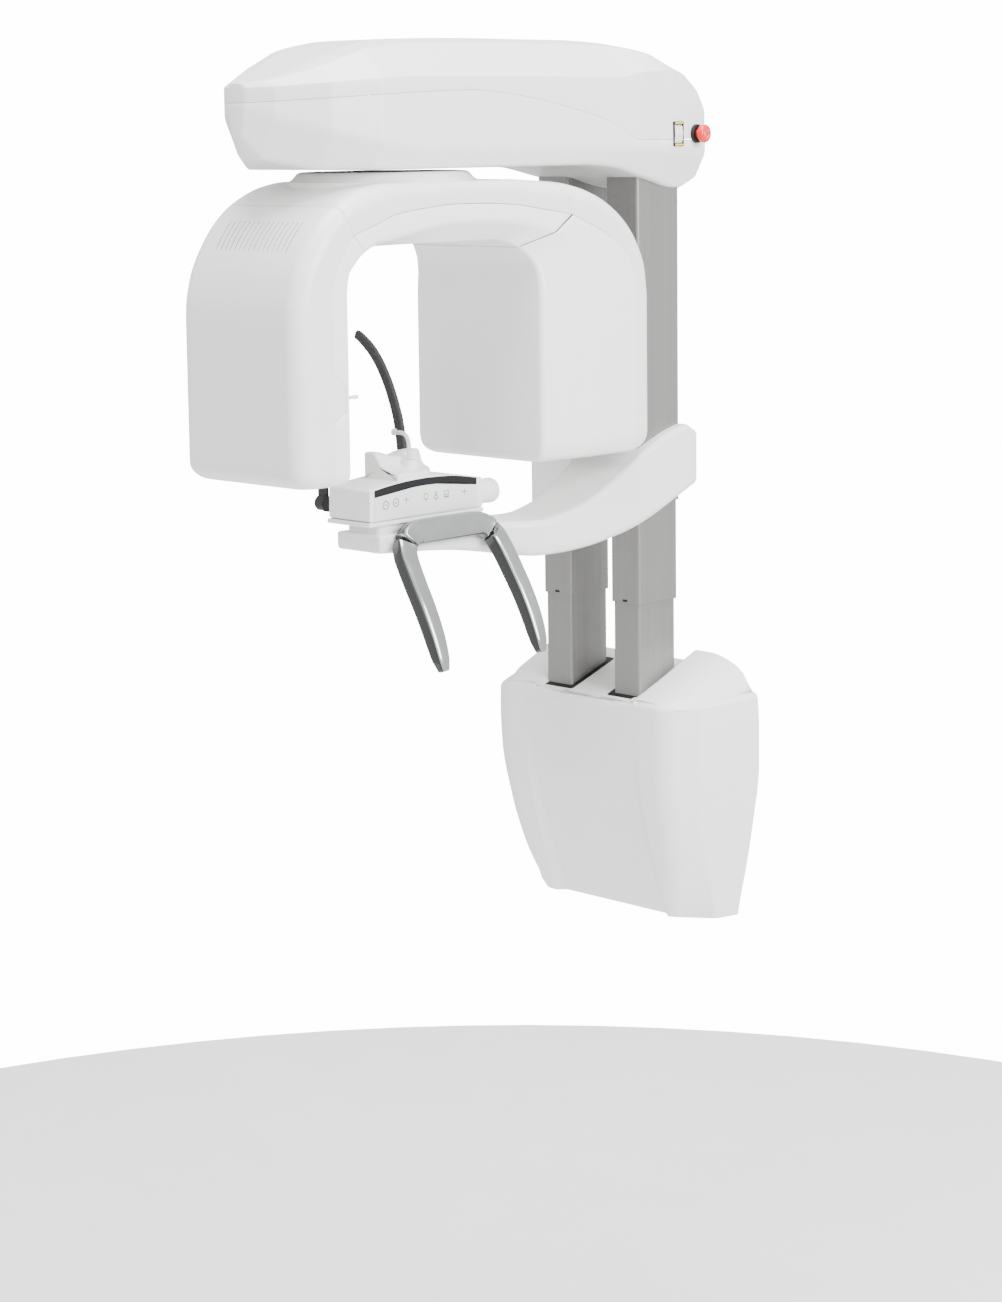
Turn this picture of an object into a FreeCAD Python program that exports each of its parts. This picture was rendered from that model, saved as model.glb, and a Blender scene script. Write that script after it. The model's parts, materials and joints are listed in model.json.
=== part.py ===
import FreeCAD, Part
import math
import os
from FreeCAD import Vector as V

# Panoramic x-ray machine. Millimetres, +Z up, +X to the machine's right, the wall is the plane Y = 0.
# The origin is the centre of the four wall bolts. At rest the lift stands 0 mm up.

# ---- driving dimensions -------------------------------------------------------------------------
BOLT_SPACING_X = 260.0
BOLT_SPACING_Z = 200.0
BOLT_HOLE_R = 5.5
PLATE_THICK = 6.0

COLUMN_X = 67.0            # each column's centre, left and right of the middle
COLUMN_Y = -75.0           # column centre in front of the wall
INNER_TUBE = (50.0, 80.0)  # X by Y outside sizes of the three telescopic stages
MIDDLE_TUBE = (55.0, 85.0)
OUTER_TUBE = (60.0, 90.0)
TUBE_WALL = 2.0
INNER_TUBE_WALL = 3.0
TUBE_CORNER_R = 4.0
INNER_TUBE_Z = (-20.0, 640.0)
MIDDLE_TUBE_Z = (283.0, 775.0)
OUTER_TUBE_Z = (429.0, 950.0)

AXIS_X = 10.0              # the C-arm turns about this upright line, at rest a little right of middle
AXIS_Y = -532.0
BOOM_FLOOR_Z = 917.0
BOOM_TOP_Z = 1089.0
BOOM_HALF = 128.0
SHELL = 3.0                # wall of the moulded covers

ARM_FRONT_Y = -795.0       # outside face of the sensor leg
ARM_REAR_Y = -145.0        # outside face of the tube-head leg
ARM_INNER_FRONT_Y = -706.0
ARM_INNER_REAR_Y = -357.0
ARM_FOOT_Z = 513.0
ARM_CEILING_Z = 820.0
ARM_TOP_Z = 901.0
ARM_REACH = 406.0          # the outermost corners turn inside this radius, clear of the columns
TURNTABLE_R = 125.0
TURNTABLE_TOP_Z = 914.0
HUB_R = 71.4
RACE_BORE_R = 72.0
HEAD_TRAVEL = 35.0         # the hub's slot in the boom floor, each way from the middle

BOX_X = (-9.0, 74.0)       # control box under the patient's chin
BOX_Y = (-629.0, -415.0)
BOX_Z = (450.0, 495.0)
BOX_CROWN = 11.0
PANEL_THICK = 2.0
KEY_R = 6.5
KEY_PLACES = {
    "key_up": -600.0, "key_down": -581.0, "key_centre": -562.0, "key_child": -526.0,
    "key_adult": -507.0, "key_field": -487.0, "key_return": -453.0,
}
KEY_Z = 477.0

TEMPLE_PIVOT = (-50.0, 470.0)   # X and Z of the pivot line, along X
TEMPLE_PIVOT_DY = 75.0
TEMPLE_TOP = (-125.0, 689.0)
TEMPLE_TOP_DY = 57.0
TEMPLE_SECTION = (18.0, 11.0)       # X by Y size of the arms
CHIN_UNIT_Y = -522.0            # middle of the chin rest and of the temple arms

SWITCH_FACE_AT_WALL = 122.0     # the boom's side face widens from here at the wall
SWITCH_FACE_FRONT = (133.0, -95.0)
SWITCH_Z = 958.0
ESTOP_Y = -25.0
ROCKER_Y = -70.0


# ---- plain solids -------------------------------------------------------------------------------
def box(x0, x1, y0, y1, z0, z1):
    """A block between two corners."""
    return Part.makeBox(x1 - x0, y1 - y0, z1 - z0, V(x0, y0, z0))


def cylinder(centre, axis, radius, length):
    """A round bar from centre along axis."""
    return Part.makeCylinder(radius, length, V(*centre), V(*axis))


def polygon_wire(points):
    """A closed wire through points in space."""
    return Part.makePolygon([V(*p) for p in points] + [V(*points[0])])


def prism(points, travel):
    """A solid swept from a flat polygon."""
    return Part.Face(polygon_wire(points)).extrude(V(*travel))


def prism_xy(points, z0, z1):
    """A plan outline raised from z0 to z1."""
    return prism([(x, y, z0) for x, y in points], (0, 0, z1 - z0))


def prism_yz(points, x0, x1):
    """A side outline carried from x0 to x1."""
    return prism([(x0, y, z) for y, z in points], (x1 - x0, 0, 0))


def prism_xz(points, y0, y1):
    """A front outline carried from y0 to y1."""
    return prism([(x, y0, z) for x, z in points], (0, y1 - y0, 0))


def inset(points, distance):
    """The polygon with every side moved inwards by distance, corners kept sharp."""
    area = sum(a[0] * b[1] - b[0] * a[1] for a, b in zip(points, points[1:] + points[:1]))
    turn = 1.0 if area > 0 else -1.0
    lines = []
    for (ax, ay), (bx, by) in zip(points, points[1:] + points[:1]):
        length = math.hypot(bx - ax, by - ay)
        ux, uy = (bx - ax) / length, (by - ay) / length
        nx, ny = -uy * turn, ux * turn
        lines.append((ax + nx * distance, ay + ny * distance, ux, uy))
    result = []
    for (px, py, ux, uy), (qx, qy, vx, vy) in zip(lines[-1:] + lines[:-1], lines):
        cross = ux * vy - uy * vx
        if abs(cross) < 1e-9:
            result.append((qx, qy))
            continue
        along = ((qx - px) * vy - (qy - py) * vx) / cross
        result.append((px + ux * along, py + uy * along))
    return result


def mirrored(half):
    """A plan outline symmetric about X = 0, from its right half listed back to front."""
    return half + [(-x, y) for x, y in reversed(half)]


def join(shapes):
    """One solid from touching solids."""
    return shapes[0].multiFuse(shapes[1:]).removeSplitter()


def group(shapes):
    """Separate solids kept in one node."""
    return Part.makeCompound(shapes)


def save(name, shape):
    """Write one node."""
    if not shape.isValid():
        raise ValueError(name + " is not a valid shape")
    shape.exportStep(os.path.join("parts", name + ".step"))
    print("%-24s %9.1f cm3" % (name, shape.Volume / 1000.0))


# ---- wall side ----------------------------------------------------------------------------------
def wall_plate():
    """Steel plate with the four wall bolt holes."""
    half_x, half_z = BOLT_SPACING_X / 2 + 20, BOLT_SPACING_Z / 2 + 22
    plate = box(-half_x, half_x, -PLATE_THICK, 0, -half_z, half_z)
    for sx in (-1, 1):
        for sz in (-1, 1):
            at = (sx * BOLT_SPACING_X / 2, 1, sz * BOLT_SPACING_Z / 2)
            plate = plate.cut(cylinder(at, (0, -1, 0), BOLT_HOLE_R, PLATE_THICK + 2))
    return plate


def rounded_rect(size_x, size_y, radius, centre_x, z0, z1):
    """A rectangular bar round the column centre, with rounded upright edges."""
    x0, y0 = centre_x - size_x / 2, COLUMN_Y - size_y / 2
    bar = box(x0, x0 + size_x, y0, y0 + size_y, z0, z1)
    upright = [e for e in bar.Edges if abs(e.tangentAt(e.FirstParameter).z) > 0.9]
    return bar.makeFillet(radius, upright)


def column_tube(size, wall, span, centre_x):
    """One stage of a telescopic column."""
    outside = rounded_rect(size[0], size[1], TUBE_CORNER_R, centre_x, *span)
    bore_r = max(TUBE_CORNER_R - wall, 1.0)
    bore = rounded_rect(size[0] - 2 * wall, size[1] - 2 * wall, bore_r, centre_x,
                        span[0] - 1, span[1] + 1)
    return outside.cut(bore)


def column_bracket(z0, height):
    """Block that clamps both inner tubes and bolts to the wall plate."""
    block = box(-112, 112, COLUMN_Y - 44, -PLATE_THICK, z0, z0 + height)
    for x in (-COLUMN_X, COLUMN_X):
        tube = rounded_rect(INNER_TUBE[0], INNER_TUBE[1], TUBE_CORNER_R, x, z0 - 1, z0 + height + 1)
        block = block.cut(tube)
    block = block.cut(box(-32, 32, COLUMN_Y - 30, -22, z0 - 1, z0 + height + 1))
    return block


SLEEVE_R = 18.0
SLEEVE_BORE_R = 15.0
SLEEVE_LENGTH = 672.0
PUSH_ROD_FOOT_Z = 190.0
LOWER_BRACKET_Z = -14.0
UPPER_BRACKET_Z = 84.0
BRACKET_HEIGHT = 34.0


def lift_actuator_body(x):
    """Gearmotor under the column, with the guide sleeve that the push rod runs in."""
    bottom = INNER_TUBE_Z[0]
    motor = box(x - 26, x + 26, COLUMN_Y - 9, -12, bottom - 92, bottom)
    foot = box(x - 22, x + 22, COLUMN_Y - 22, -40, bottom, bottom + 4)
    sleeve = cylinder((x, COLUMN_Y, bottom), (0, 0, 1), SLEEVE_R, SLEEVE_LENGTH)
    bore = cylinder((x, COLUMN_Y, bottom + 8), (0, 0, 1), SLEEVE_BORE_R, SLEEVE_LENGTH)
    return join([motor, foot, sleeve]).cut(bore)


def lift_push_rod(x):
    """Push rod that carries the head, with its piston in the sleeve."""
    head_z = OUTER_TUBE_Z[1] - 12
    rod = cylinder((x, COLUMN_Y, PUSH_ROD_FOOT_Z), (0, 0, 1), 11, head_z - PUSH_ROD_FOOT_Z)
    piston = cylinder((x, COLUMN_Y, PUSH_ROD_FOOT_Z), (0, 0, 1), SLEEVE_BORE_R - 0.5, 20)
    head = box(x - 20, x + 20, COLUMN_Y - 20, COLUMN_Y + 20, head_z, OUTER_TUBE_Z[1])
    return join([rod, piston, head])


# height, half width at the wall, side crease, front corner, front face, depth of the front recess
BASE_STATIONS = [
    (-186.0, 183.0, (173.0, -38.0), (122.0, -74.0), -78.0, 12.0),
    (-165.0, 187.0, (175.0, -44.0), (128.0, -82.0), -86.0, 12.0),
    (-110.0, 199.0, (177.0, -60.0), (143.0, -103.0), -106.0, 11.0),
    (-40.0, 212.0, (181.0, -82.0), (152.0, -122.0), -126.0, 7.0),
    (46.0, 223.0, (188.0, -91.0), (158.0, -137.0), -141.0, 1.5),
    (100.0, 223.0, (190.0, -94.0), (159.0, -138.0), -141.0, 0.5),
    (205.0, 214.0, (186.0, -92.0), (156.0, -134.0), -137.0, 0.5),
]
BASE_FLAT_HALF = 93.0
BASE_FLAT_Z = 185.0        # the flat top at the wall
BASE_FLAT_SLOPE = 0.335
BASE_WING_SLOPE = 0.42
SLOT_SIZE = (72.0, 102.0)


def base_body(wall):
    """The base cover's tapered outside, or its inside when wall is more than zero."""
    wires = []
    for z, half, crease, corner, front, recess in BASE_STATIONS:
        height = z + wall if z == BASE_STATIONS[0][0] else z
        right = [(half - wall, 2.0 * (wall > 0)), (crease[0] - wall, crease[1] + wall * 0.5),
                 (corner[0] - wall, corner[1] + wall), (104.0 - wall * 0.3, front + wall),
                 (98.0 - wall * 0.3, front + recess + wall)]
        wires.append(polygon_wire([(x, y, height) for x, y in mirrored(right)]))
    return Part.makeLoft(wires, True, True)


def base_roof(wall):
    """Everything under the base cover's top: a flat in the middle, a raised wing on each side."""
    def outline(y):
        """Right half of the top's section at depth y."""
        flat = BASE_FLAT_Z + BASE_FLAT_SLOPE * y - wall
        wing = BASE_WING_SLOPE * y - wall
        half = [(240.0, -200.0), (240.0, 120 + wing), (221.0, 149 + wing), (175.0, 191 + wing),
                (135.0, 202 + wing), (BASE_FLAT_HALF + 3 + wall, 202 + wing),
                (BASE_FLAT_HALF + wall, flat)]
        return [(x, y, z) for x, z in half] + [(-x, y, z) for x, z in reversed(half)]
    return Part.makeLoft([polygon_wire(outline(5.0)), polygon_wire(outline(-160.0))], True, True)


def base_cover():
    """Moulded cover over the wall bracket, open at the wall, with a slot round each column."""
    outside = base_body(0.0).common(base_roof(0.0))
    cover = outside.cut(base_body(SHELL).common(base_roof(SHELL)))
    for x in (-COLUMN_X, COLUMN_X):
        slot = box(x - SLOT_SIZE[0] / 2, x + SLOT_SIZE[0] / 2,
                   COLUMN_Y - SLOT_SIZE[1] / 2, COLUMN_Y + SLOT_SIZE[1] / 2, 125, 230)
        cover = cover.cut(slot)
    inlet = box(150 - 15, 150 + 15, -30, -12, -195, -170)
    cover = cover.cut(inlet)
    return cover


def mains_inlet():
    """Appliance inlet let into the floor of the base cover."""
    body = box(135.3, 164.7, -29.7, -12.3, -187, -153)
    return body.cut(box(139, 161, -26, -16, -189, -167))


def power_supply():
    """Supply case inside the base, beside the columns."""
    case = box(118, 162, -60, -PLATE_THICK, -100, 40)
    return case.cut(box(121, 159, -57, -PLATE_THICK - 3, -97, 37))


def bracket_screws():
    """Hexagon screws that hold the two brackets on the wall plate."""
    screws = []
    for z in (LOWER_BRACKET_Z + BRACKET_HEIGHT, UPPER_BRACKET_Z + BRACKET_HEIGHT):
        for x in (-14, 14):
            screws.append(cylinder((x, -22, z - BRACKET_HEIGHT / 2), (0, -1, 0), 8, 6))
    return group(screws)


def glide_clips():
    """Small clips that lock the glides, low on the front of each middle tube."""
    clips = []
    for x in (-COLUMN_X, COLUMN_X):
        y = COLUMN_Y - MIDDLE_TUBE[1] / 2
        clips.append(box(x - 4, x + 4, y - 0.8, y, MIDDLE_TUBE_Z[0] + 2, MIDDLE_TUBE_Z[0] + 5))
    return group(clips)


# ---- boom ---------------------------------------------------------------------------------------
BOOM_PLAN_HALF = [(SWITCH_FACE_AT_WALL, 0.0), (SWITCH_FACE_FRONT[0], SWITCH_FACE_FRONT[1]),
                  (BOOM_HALF, -125.0), (BOOM_HALF - 1.0, -635.0), (98.0, -700.0),
                  (50.0, -757.0), (16.0, -778.0)]
BOOM_SIDE = [(0.0, 893.0), (-30.0, 878.0), (-120.0, 898.0), (-185.0, 912.0), (-245.0, 917.0),
             (-700.0, 917.0), (-745.0, 930.0), (-770.0, 955.0), (-778.0, 990.0), (-774.0, 1024.0),
             (-740.0, 1050.0), (-660.0, 1078.0), (-560.0, 1086.0), (-400.0, 1089.0),
             (-230.0, 1089.0), (-150.0, 1084.0), (-90.0, 1069.0), (-40.0, 1046.0),
             (-8.0, 1018.0), (0.0, 1000.0)]
BOOM_SECTION_HALF = [(0.0, 870.0), (92.0, 870.0), (122.0, 885.0), (134.0, 938.0), (134.0, 1030.0),
                     (126.0, 1045.0), (88.0, 1082.0), (60.0, 1090.0), (0.0, 1093.0)]
SEAM = [(5.0, 950.0), (-147.0, 951.0), (-180.0, 963.0), (-216.0, 978.0), (-293.0, 996.0),
        (-400.0, 1013.0), (-479.0, 1019.0), (-583.0, 1016.0), (-800.0, 1003.0)]


def boom_body(wall):
    """The boom's outside as plan, side and front outlines crossed, or its inside."""
    plan = mirrored(BOOM_PLAN_HALF)
    section = [(x, z) for x, z in BOOM_SECTION_HALF] + \
        [(-x, z) for x, z in reversed(BOOM_SECTION_HALF[1:-1])]
    side = list(BOOM_SIDE)
    if wall:
        plan, section, side = inset(plan, wall), inset(section, wall), inset(side, wall)
    body = prism_xy(plan, 860, 1100)
    body = body.common(prism_yz(side, -150, 150))
    return body.common(prism_xz(section, -800, 10))


def under_seam(gap):
    """Everything below the line where the two boom covers meet."""
    top = [(y, z - gap) for y, z in SEAM]
    return prism_yz(top + [(-800.0, 850.0), (5.0, 850.0)], -160, 160)


def switch_point(y, out):
    """A point on the boom's switch face at depth y, and out along the face's outward normal."""
    run = -SWITCH_FACE_FRONT[1]
    rise = SWITCH_FACE_FRONT[0] - SWITCH_FACE_AT_WALL
    length = math.hypot(run, rise)
    normal = (run / length, rise / length)
    x = SWITCH_FACE_AT_WALL - y * rise / run
    return (x + normal[0] * out, y + normal[1] * out), normal


def on_switch_face(shape, y):
    """Carry a shape made round the origin, facing +X, to the boom's switch face."""
    (px, py), normal = switch_point(y, 0.0)
    shape = shape.copy()
    shape.rotate(V(0, 0, 0), V(0, 0, 1), math.degrees(math.atan2(normal[1], normal[0])))
    shape.translate(V(px, py, SWITCH_Z))
    return shape


ROCKER_HALF = (10.0, 12.5)        # half width along the boom and half height
ROCKER_FRAME_HALF = (12.5, 17.5)


def boom_openings():
    """Holes that both covers leave: hub slot, column holes, rocker switch and stop button."""
    hub_r = HUB_R + 4
    x0, x1 = AXIS_X - HEAD_TRAVEL, AXIS_X + HEAD_TRAVEL
    cuts = [box(x0, x1, AXIS_Y - hub_r, AXIS_Y + hub_r, 905, 930)]
    cuts += [cylinder((x, AXIS_Y, 905), (0, 0, 1), hub_r, 25) for x in (x0, x1)]
    for x in (-COLUMN_X, COLUMN_X):
        cuts.append(rounded_rect(OUTER_TUBE[0], OUTER_TUBE[1], TUBE_CORNER_R, x, 860, 930))
    frame = box(-20, 5, -ROCKER_HALF[0] - 0.8, ROCKER_HALF[0] + 0.8,
                -ROCKER_HALF[1] - 0.8, ROCKER_HALF[1] + 0.8)
    cuts.append(on_switch_face(frame, ROCKER_Y))
    cuts.append(on_switch_face(cylinder((-20, 0, 0), (1, 0, 0), 11.2, 30), ESTOP_Y))
    return cuts


def boom_cover(upper):
    """Upper or lower moulded half of the boom."""
    shell = boom_body(0.0).cut(boom_body(SHELL))
    below = under_seam(0.0 if upper else 0.6)
    half = shell.cut(below) if upper else shell.common(below)
    for cut in boom_openings():
        half = half.cut(cut)
    return half


def boom_frame():
    """Welded frame: a plate over the tube tops, two beams out to the turning head, and a board tray."""
    plate = box(-104, 104, COLUMN_Y - 45, COLUMN_Y + 48, OUTER_TUBE_Z[1], 960)
    parts = [plate]
    for sx in (-1, 1):
        x0, x1 = sorted((sx * 84, sx * 102))
        parts.append(box(x0, x1, COLUMN_Y - 45, COLUMN_Y + 48, 960, 972))
        parts.append(box(x0, x1, -660, COLUMN_Y + 48, 972, 1000))
    parts.append(box(-104, 104, -370, -170, 1000, 1003))
    parts.append(box(-84, 84, -354, -186, 1003, 1010))
    return join(parts)


RAIL_DY = 108.0


def slide_rails():
    """Two rails across the boom that carry the turning head."""
    return group([box(-110, 110, AXIS_Y + dy - 8, AXIS_Y + dy + 8, 960, 972)
                  for dy in (-RAIL_DY, RAIL_DY)])


def control_board():
    """Control electronics on stand-offs above the columns."""
    board = box(-80, 80, -350, -190, 1010, 1012)
    return join([board] + [box(x - 12, x + 12, y - 18, y + 18, 1012, 1026)
                           for x in (-50, 10, 55) for y in (-310, -240)])


def head_carriage():
    """Plate that slides across the boom, with four blocks under the rails."""
    plate = box(AXIS_X - 78, AXIS_X + 78, AXIS_Y - 122, AXIS_Y + 122, 940, 948)
    plate = plate.cut(cylinder((AXIS_X, AXIS_Y, 938), (0, 0, 1), RACE_BORE_R, 12))
    blocks = [box(x - 18, x + 18, AXIS_Y + dy - 14, AXIS_Y + dy + 14, 948, 959.6)
              for x in (AXIS_X - 58, AXIS_X + 58) for dy in (-RAIL_DY, RAIL_DY)]
    return join([plate] + blocks)


def slewing_ring():
    """Bearing ring under the carriage plate, round the turntable's hub."""
    ring = cylinder((AXIS_X, AXIS_Y, 926), (0, 0, 1), 90, 14)
    return ring.cut(cylinder((AXIS_X, AXIS_Y, 925), (0, 0, 1), RACE_BORE_R, 16))


def rotation_motor():
    """Flat direct-drive motor on the carriage plate, hollow where the hub ends."""
    case = cylinder((AXIS_X, AXIS_Y, 948), (0, 0, 1), 84, 22)
    return case.cut(cylinder((AXIS_X, AXIS_Y, 947), (0, 0, 1), RACE_BORE_R, 12))


def rocker_frame():
    """Rectangular switch bezel on the boom's side."""
    y, z = ROCKER_FRAME_HALF
    frame = box(0, 2.2, -y, y, -z, z)
    body = box(-16, 0, -ROCKER_HALF[0] - 0.6, ROCKER_HALF[0] + 0.6,
               -ROCKER_HALF[1] - 0.6, ROCKER_HALF[1] + 0.6)
    hollow = box(-14, 4, -ROCKER_HALF[0], ROCKER_HALF[0], -ROCKER_HALF[1], ROCKER_HALF[1])
    return on_switch_face(join([frame, body]).cut(hollow), ROCKER_Y)


def rocker():
    """Rocking key of the mains switch, hinged half way up."""
    y, z = ROCKER_HALF[0] - 0.6, ROCKER_HALF[1] - 1.2
    face = [(-6.0, -z), (1.6, -z), (3.2, 0.0), (1.6, z), (-6.0, z)]
    key = prism([(x, -y, zz) for x, zz in face], (0, 2 * y, 0))
    return on_switch_face(key, ROCKER_Y)


def stop_collar():
    """Black collar of the emergency stop, with its neck through the cover."""
    collar = join([cylinder((0, 0, 0), (1, 0, 0), 13.5, 5), cylinder((-16, 0, 0), (1, 0, 0), 11, 17)])
    return on_switch_face(collar.cut(cylinder((-13, 0, 0), (1, 0, 0), 7, 30)), ESTOP_Y)


def stop_button():
    """Red mushroom head on its stem."""
    stem = cylinder((-6, 0, 0), (1, 0, 0), 6.4, 18)
    head = cylinder((11, 0, 0), (1, 0, 0), 13, 9)
    head = head.makeFillet(2.5, [e for e in head.Edges if abs(e.BoundBox.XMin - 20) < 0.1])
    return on_switch_face(join([stem, head]), ESTOP_Y)


# ---- C-arm --------------------------------------------------------------------------------------
FRONT_BEND_R = 176.0
REAR_BEND = (260.0, 166.0)        # the rear shoulder is a quarter ellipse, Y by Z
INNER_BEND_R = 57.0
FOOT_R = 16.0
ARM_PLAN_HALF = [(118.0, -145.0), (133.0, -162.0), (133.0, -257.0), (123.0, -357.0),
                 (118.0, -600.0), (113.0, -700.0), (113.0, -774.0), (96.0, -795.0)]
# the long seam runs inside the sensor leg's edge, over the arch, and down behind the tube head
LONG_SEAM = [(-735.0, 500.0), (-735.0, 598.0), (-714.0, 613.0), (-714.0, 646.0), (-735.0, 663.0),
             (-735.0, 755.0), (-727.0, 789.0), (-696.0, 833.0), (-618.0, 861.0), (-518.0, 871.0),
             (-413.0, 868.0), (-302.0, 851.0), (-247.0, 828.0), (-205.0, 803.0), (-181.0, 774.0),
             (-174.0, 739.0), (-174.0, 500.0)]
FRONT_CROSS_SEAM = [(-560.0, 780.0), (-682.0, 810.0), (-696.0, 833.0), (-718.0, 872.0), (-735.0, 920.0)]
REAR_CROSS_SEAM = [(-500.0, 800.0), (-357.0, 812.0), (-330.0, 829.0), (-302.0, 851.0), (-317.0, 893.0),
                   (-322.0, 920.0)]


def line(a, b):
    """A straight edge in the YZ plane."""
    return Part.LineSegment(V(0, *a), V(0, *b)).toShape()


def corner(centre, radius, start, end):
    """A circular edge in the YZ plane, from angle start to end in degrees."""
    def at(degrees):
        """Point on the circle."""
        a = math.radians(degrees)
        return V(0, centre[0] + radius * math.cos(a), centre[1] + radius * math.sin(a))
    return Part.Arc(at(start), at((start + end) / 2), at(end)).toShape()


def arm_outline(wall):
    """Side outline of the C-arm, moved inwards by wall."""
    front, rear, foot = ARM_FRONT_Y + wall, ARM_REAR_Y - wall, ARM_FOOT_Z + wall
    inner_front, inner_rear = ARM_INNER_FRONT_Y - wall, ARM_INNER_REAR_Y + wall
    top, ceiling = ARM_TOP_Z - wall, ARM_CEILING_Z + wall
    bend, inner, r = FRONT_BEND_R - wall, INNER_BEND_R + wall, FOOT_R - wall
    wide, high = REAR_BEND[0] - wall, REAR_BEND[1] - wall
    shoulder = Part.Ellipse(V(0, rear, top - high), V(0, rear - wide, top), V(0, rear - wide, top - high))
    edges = [
        line((front, foot + r), (front, top - bend)),
        corner((front + bend, top - bend), bend, 180, 90),
        line((front + bend, top), (rear - wide, top)),
        shoulder.toShape(0, math.pi / 2),
        line((rear, top - high), (rear, foot + r)),
        corner((rear - r, foot + r), r, 0, -90),
        line((rear - r, foot), (inner_rear + r, foot)),
        corner((inner_rear + r, foot + r), r, 270, 180),
        line((inner_rear, foot + r), (inner_rear, ceiling - inner)),
        corner((inner_rear - inner, ceiling - inner), inner, 0, 90),
        line((inner_rear - inner, ceiling), (inner_front + inner, ceiling)),
        corner((inner_front + inner, ceiling - inner), inner, 90, 180),
        line((inner_front, ceiling - inner), (inner_front, foot + r)),
        corner((inner_front - r, foot + r), r, 0, -90),
        line((inner_front - r, foot), (front + r, foot)),
        corner((front + r, foot + r), r, 270, 180),
    ]
    return Part.Face(Part.Wire(Part.__sortEdges__(edges)))


def arm_body(wall):
    """The C-arm's outside, or its inside when wall is more than zero."""
    body = arm_outline(wall)
    body.translate(V(-150, 0, 0))
    body = body.extrude(V(300, 0, 0))
    body = body.common(prism_xy(inset(mirrored(ARM_PLAN_HALF), wall), 400, 950))
    body.translate(V(AXIS_X, 0, 0))
    return body.common(cylinder((AXIS_X, AXIS_Y, 400), (0, 0, 1), ARM_REACH - wall, 600))


def arm_covers():
    """The C-arm's skin cut along its seams into six mouldings."""
    shell = arm_body(0.0).cut(arm_body(SHELL))
    inner = prism_yz(LONG_SEAM, -200, 200)
    front = prism_yz([(-830.0, 920.0), (-830.0, 480.0), (-560.0, 480.0)] + FRONT_CROSS_SEAM, -200, 200)
    rear = prism_yz([(-100.0, 920.0), (-100.0, 480.0), (-500.0, 480.0)] + REAR_CROSS_SEAM, -200, 200)
    hub_hole = cylinder((AXIS_X, AXIS_Y, 860), (0, 0, 1), HUB_R - 10, 60)
    inside, outside = shell.common(inner), shell.cut(inner)
    return {
        "sensor_leg_cover": cut_vents(outside.common(front)),
        "sensor_leg_liner": inside.common(front).cut(lever_slot()),
        "bridge_cover": outside.cut(front).cut(rear).cut(hub_hole),
        "arch_ceiling": inside.cut(front).cut(rear),
        "tube_leg_back": outside.common(rear),
        "tube_head_cover": inside.common(rear),
    }


LEVER = (114.0, -706.0, 630.0)    # where the laser lever comes through the sensor leg's inner face


def lever_slot():
    """Upright slot in the sensor leg's inner face that the laser lever slides in."""
    return box(LEVER[0] - 3.2, LEVER[0] + 3.2, LEVER[1] - 8, LEVER[1] + 4, LEVER[2] - 16, LEVER[2] + 16)


VENT_COUNT = 16
VENT_PITCH = 9.5


def cut_vents(cover):
    """Row of upright air slots over the sensor leg's shoulder."""
    slots = []
    for i in range(VENT_COUNT):
        x = AXIS_X + (i - (VENT_COUNT - 1) / 2) * VENT_PITCH
        slots.append(box(x - 1, x + 1, ARM_FRONT_Y - 5, ARM_FRONT_Y + 60, 800, 842))
    return cover.cut(group(slots))


def turntable():
    """Round collar on the arch with the hub that turns in the slewing ring."""
    disc = cylinder((AXIS_X, AXIS_Y, ARM_TOP_Z), (0, 0, 1), TURNTABLE_R, TURNTABLE_TOP_Z - ARM_TOP_Z)
    hub = cylinder((AXIS_X, AXIS_Y, TURNTABLE_TOP_Z), (0, 0, 1), HUB_R, 32)
    return join([disc, hub]).cut(cylinder((AXIS_X, AXIS_Y, 890), (0, 0, 1), 40, 60))


def arm_frame():
    """Folded steel frame inside the C-arm."""
    x0, x1 = AXIS_X - 50, AXIS_X + 50
    beam = box(x0, x1, -735, -235, 828, 848)
    beam = beam.cut(box(x0 + 4, x1 - 4, -725, -245, 832, 844))
    front = box(x0, x1, -735, -729, 560, 828)
    rear = box(x0, x1, -241, -235, 560, 828)
    boss = cylinder((AXIS_X, AXIS_Y, 848), (0, 0, 1), 58, ARM_TOP_Z - 848)
    boss = boss.cut(cylinder((AXIS_X, AXIS_Y, 847), (0, 0, 1), 40, 60))
    return join([beam, front, rear, boss])


def sensor_panel():
    """Flat detector behind the sensor leg's inner face."""
    return box(AXIS_X - 78, AXIS_X + 78, -728, -716, 552, 752)


def xray_tank():
    """Shielded case of the x-ray generator."""
    tank = box(AXIS_X - 72, AXIS_X + 72, -343, -243, 560, 780)
    return tank.cut(box(AXIS_X - 67, AXIS_X + 67, -338, -248, 565, 775))


def xray_tube():
    """X-ray tube insert lying across the tank."""
    bulb = cylinder((AXIS_X - 42, -292, 668), (1, 0, 0), 24, 60)
    neck = cylinder((AXIS_X + 18, -292, 668), (1, 0, 0), 13, 34)
    return join([bulb, neck])


def collimator():
    """Lead slit plates in front of the tank's window."""
    plate = box(AXIS_X - 40, AXIS_X + 40, -353, -343, 620, 716)
    return plate.cut(box(AXIS_X - 6, AXIS_X + 6, -355, -341, 632, 704))


def laser_lever():
    """Small lever on the sensor leg that slides the positioning light up and down."""
    x, y, z = LEVER
    foot = box(x - 7, x + 5, y - 11, y - 3.6, z - 9, z + 9)
    pin = cylinder((x, y - 4, z), (0, 1, 0), 2.6, 27)
    return join([foot, pin])


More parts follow.
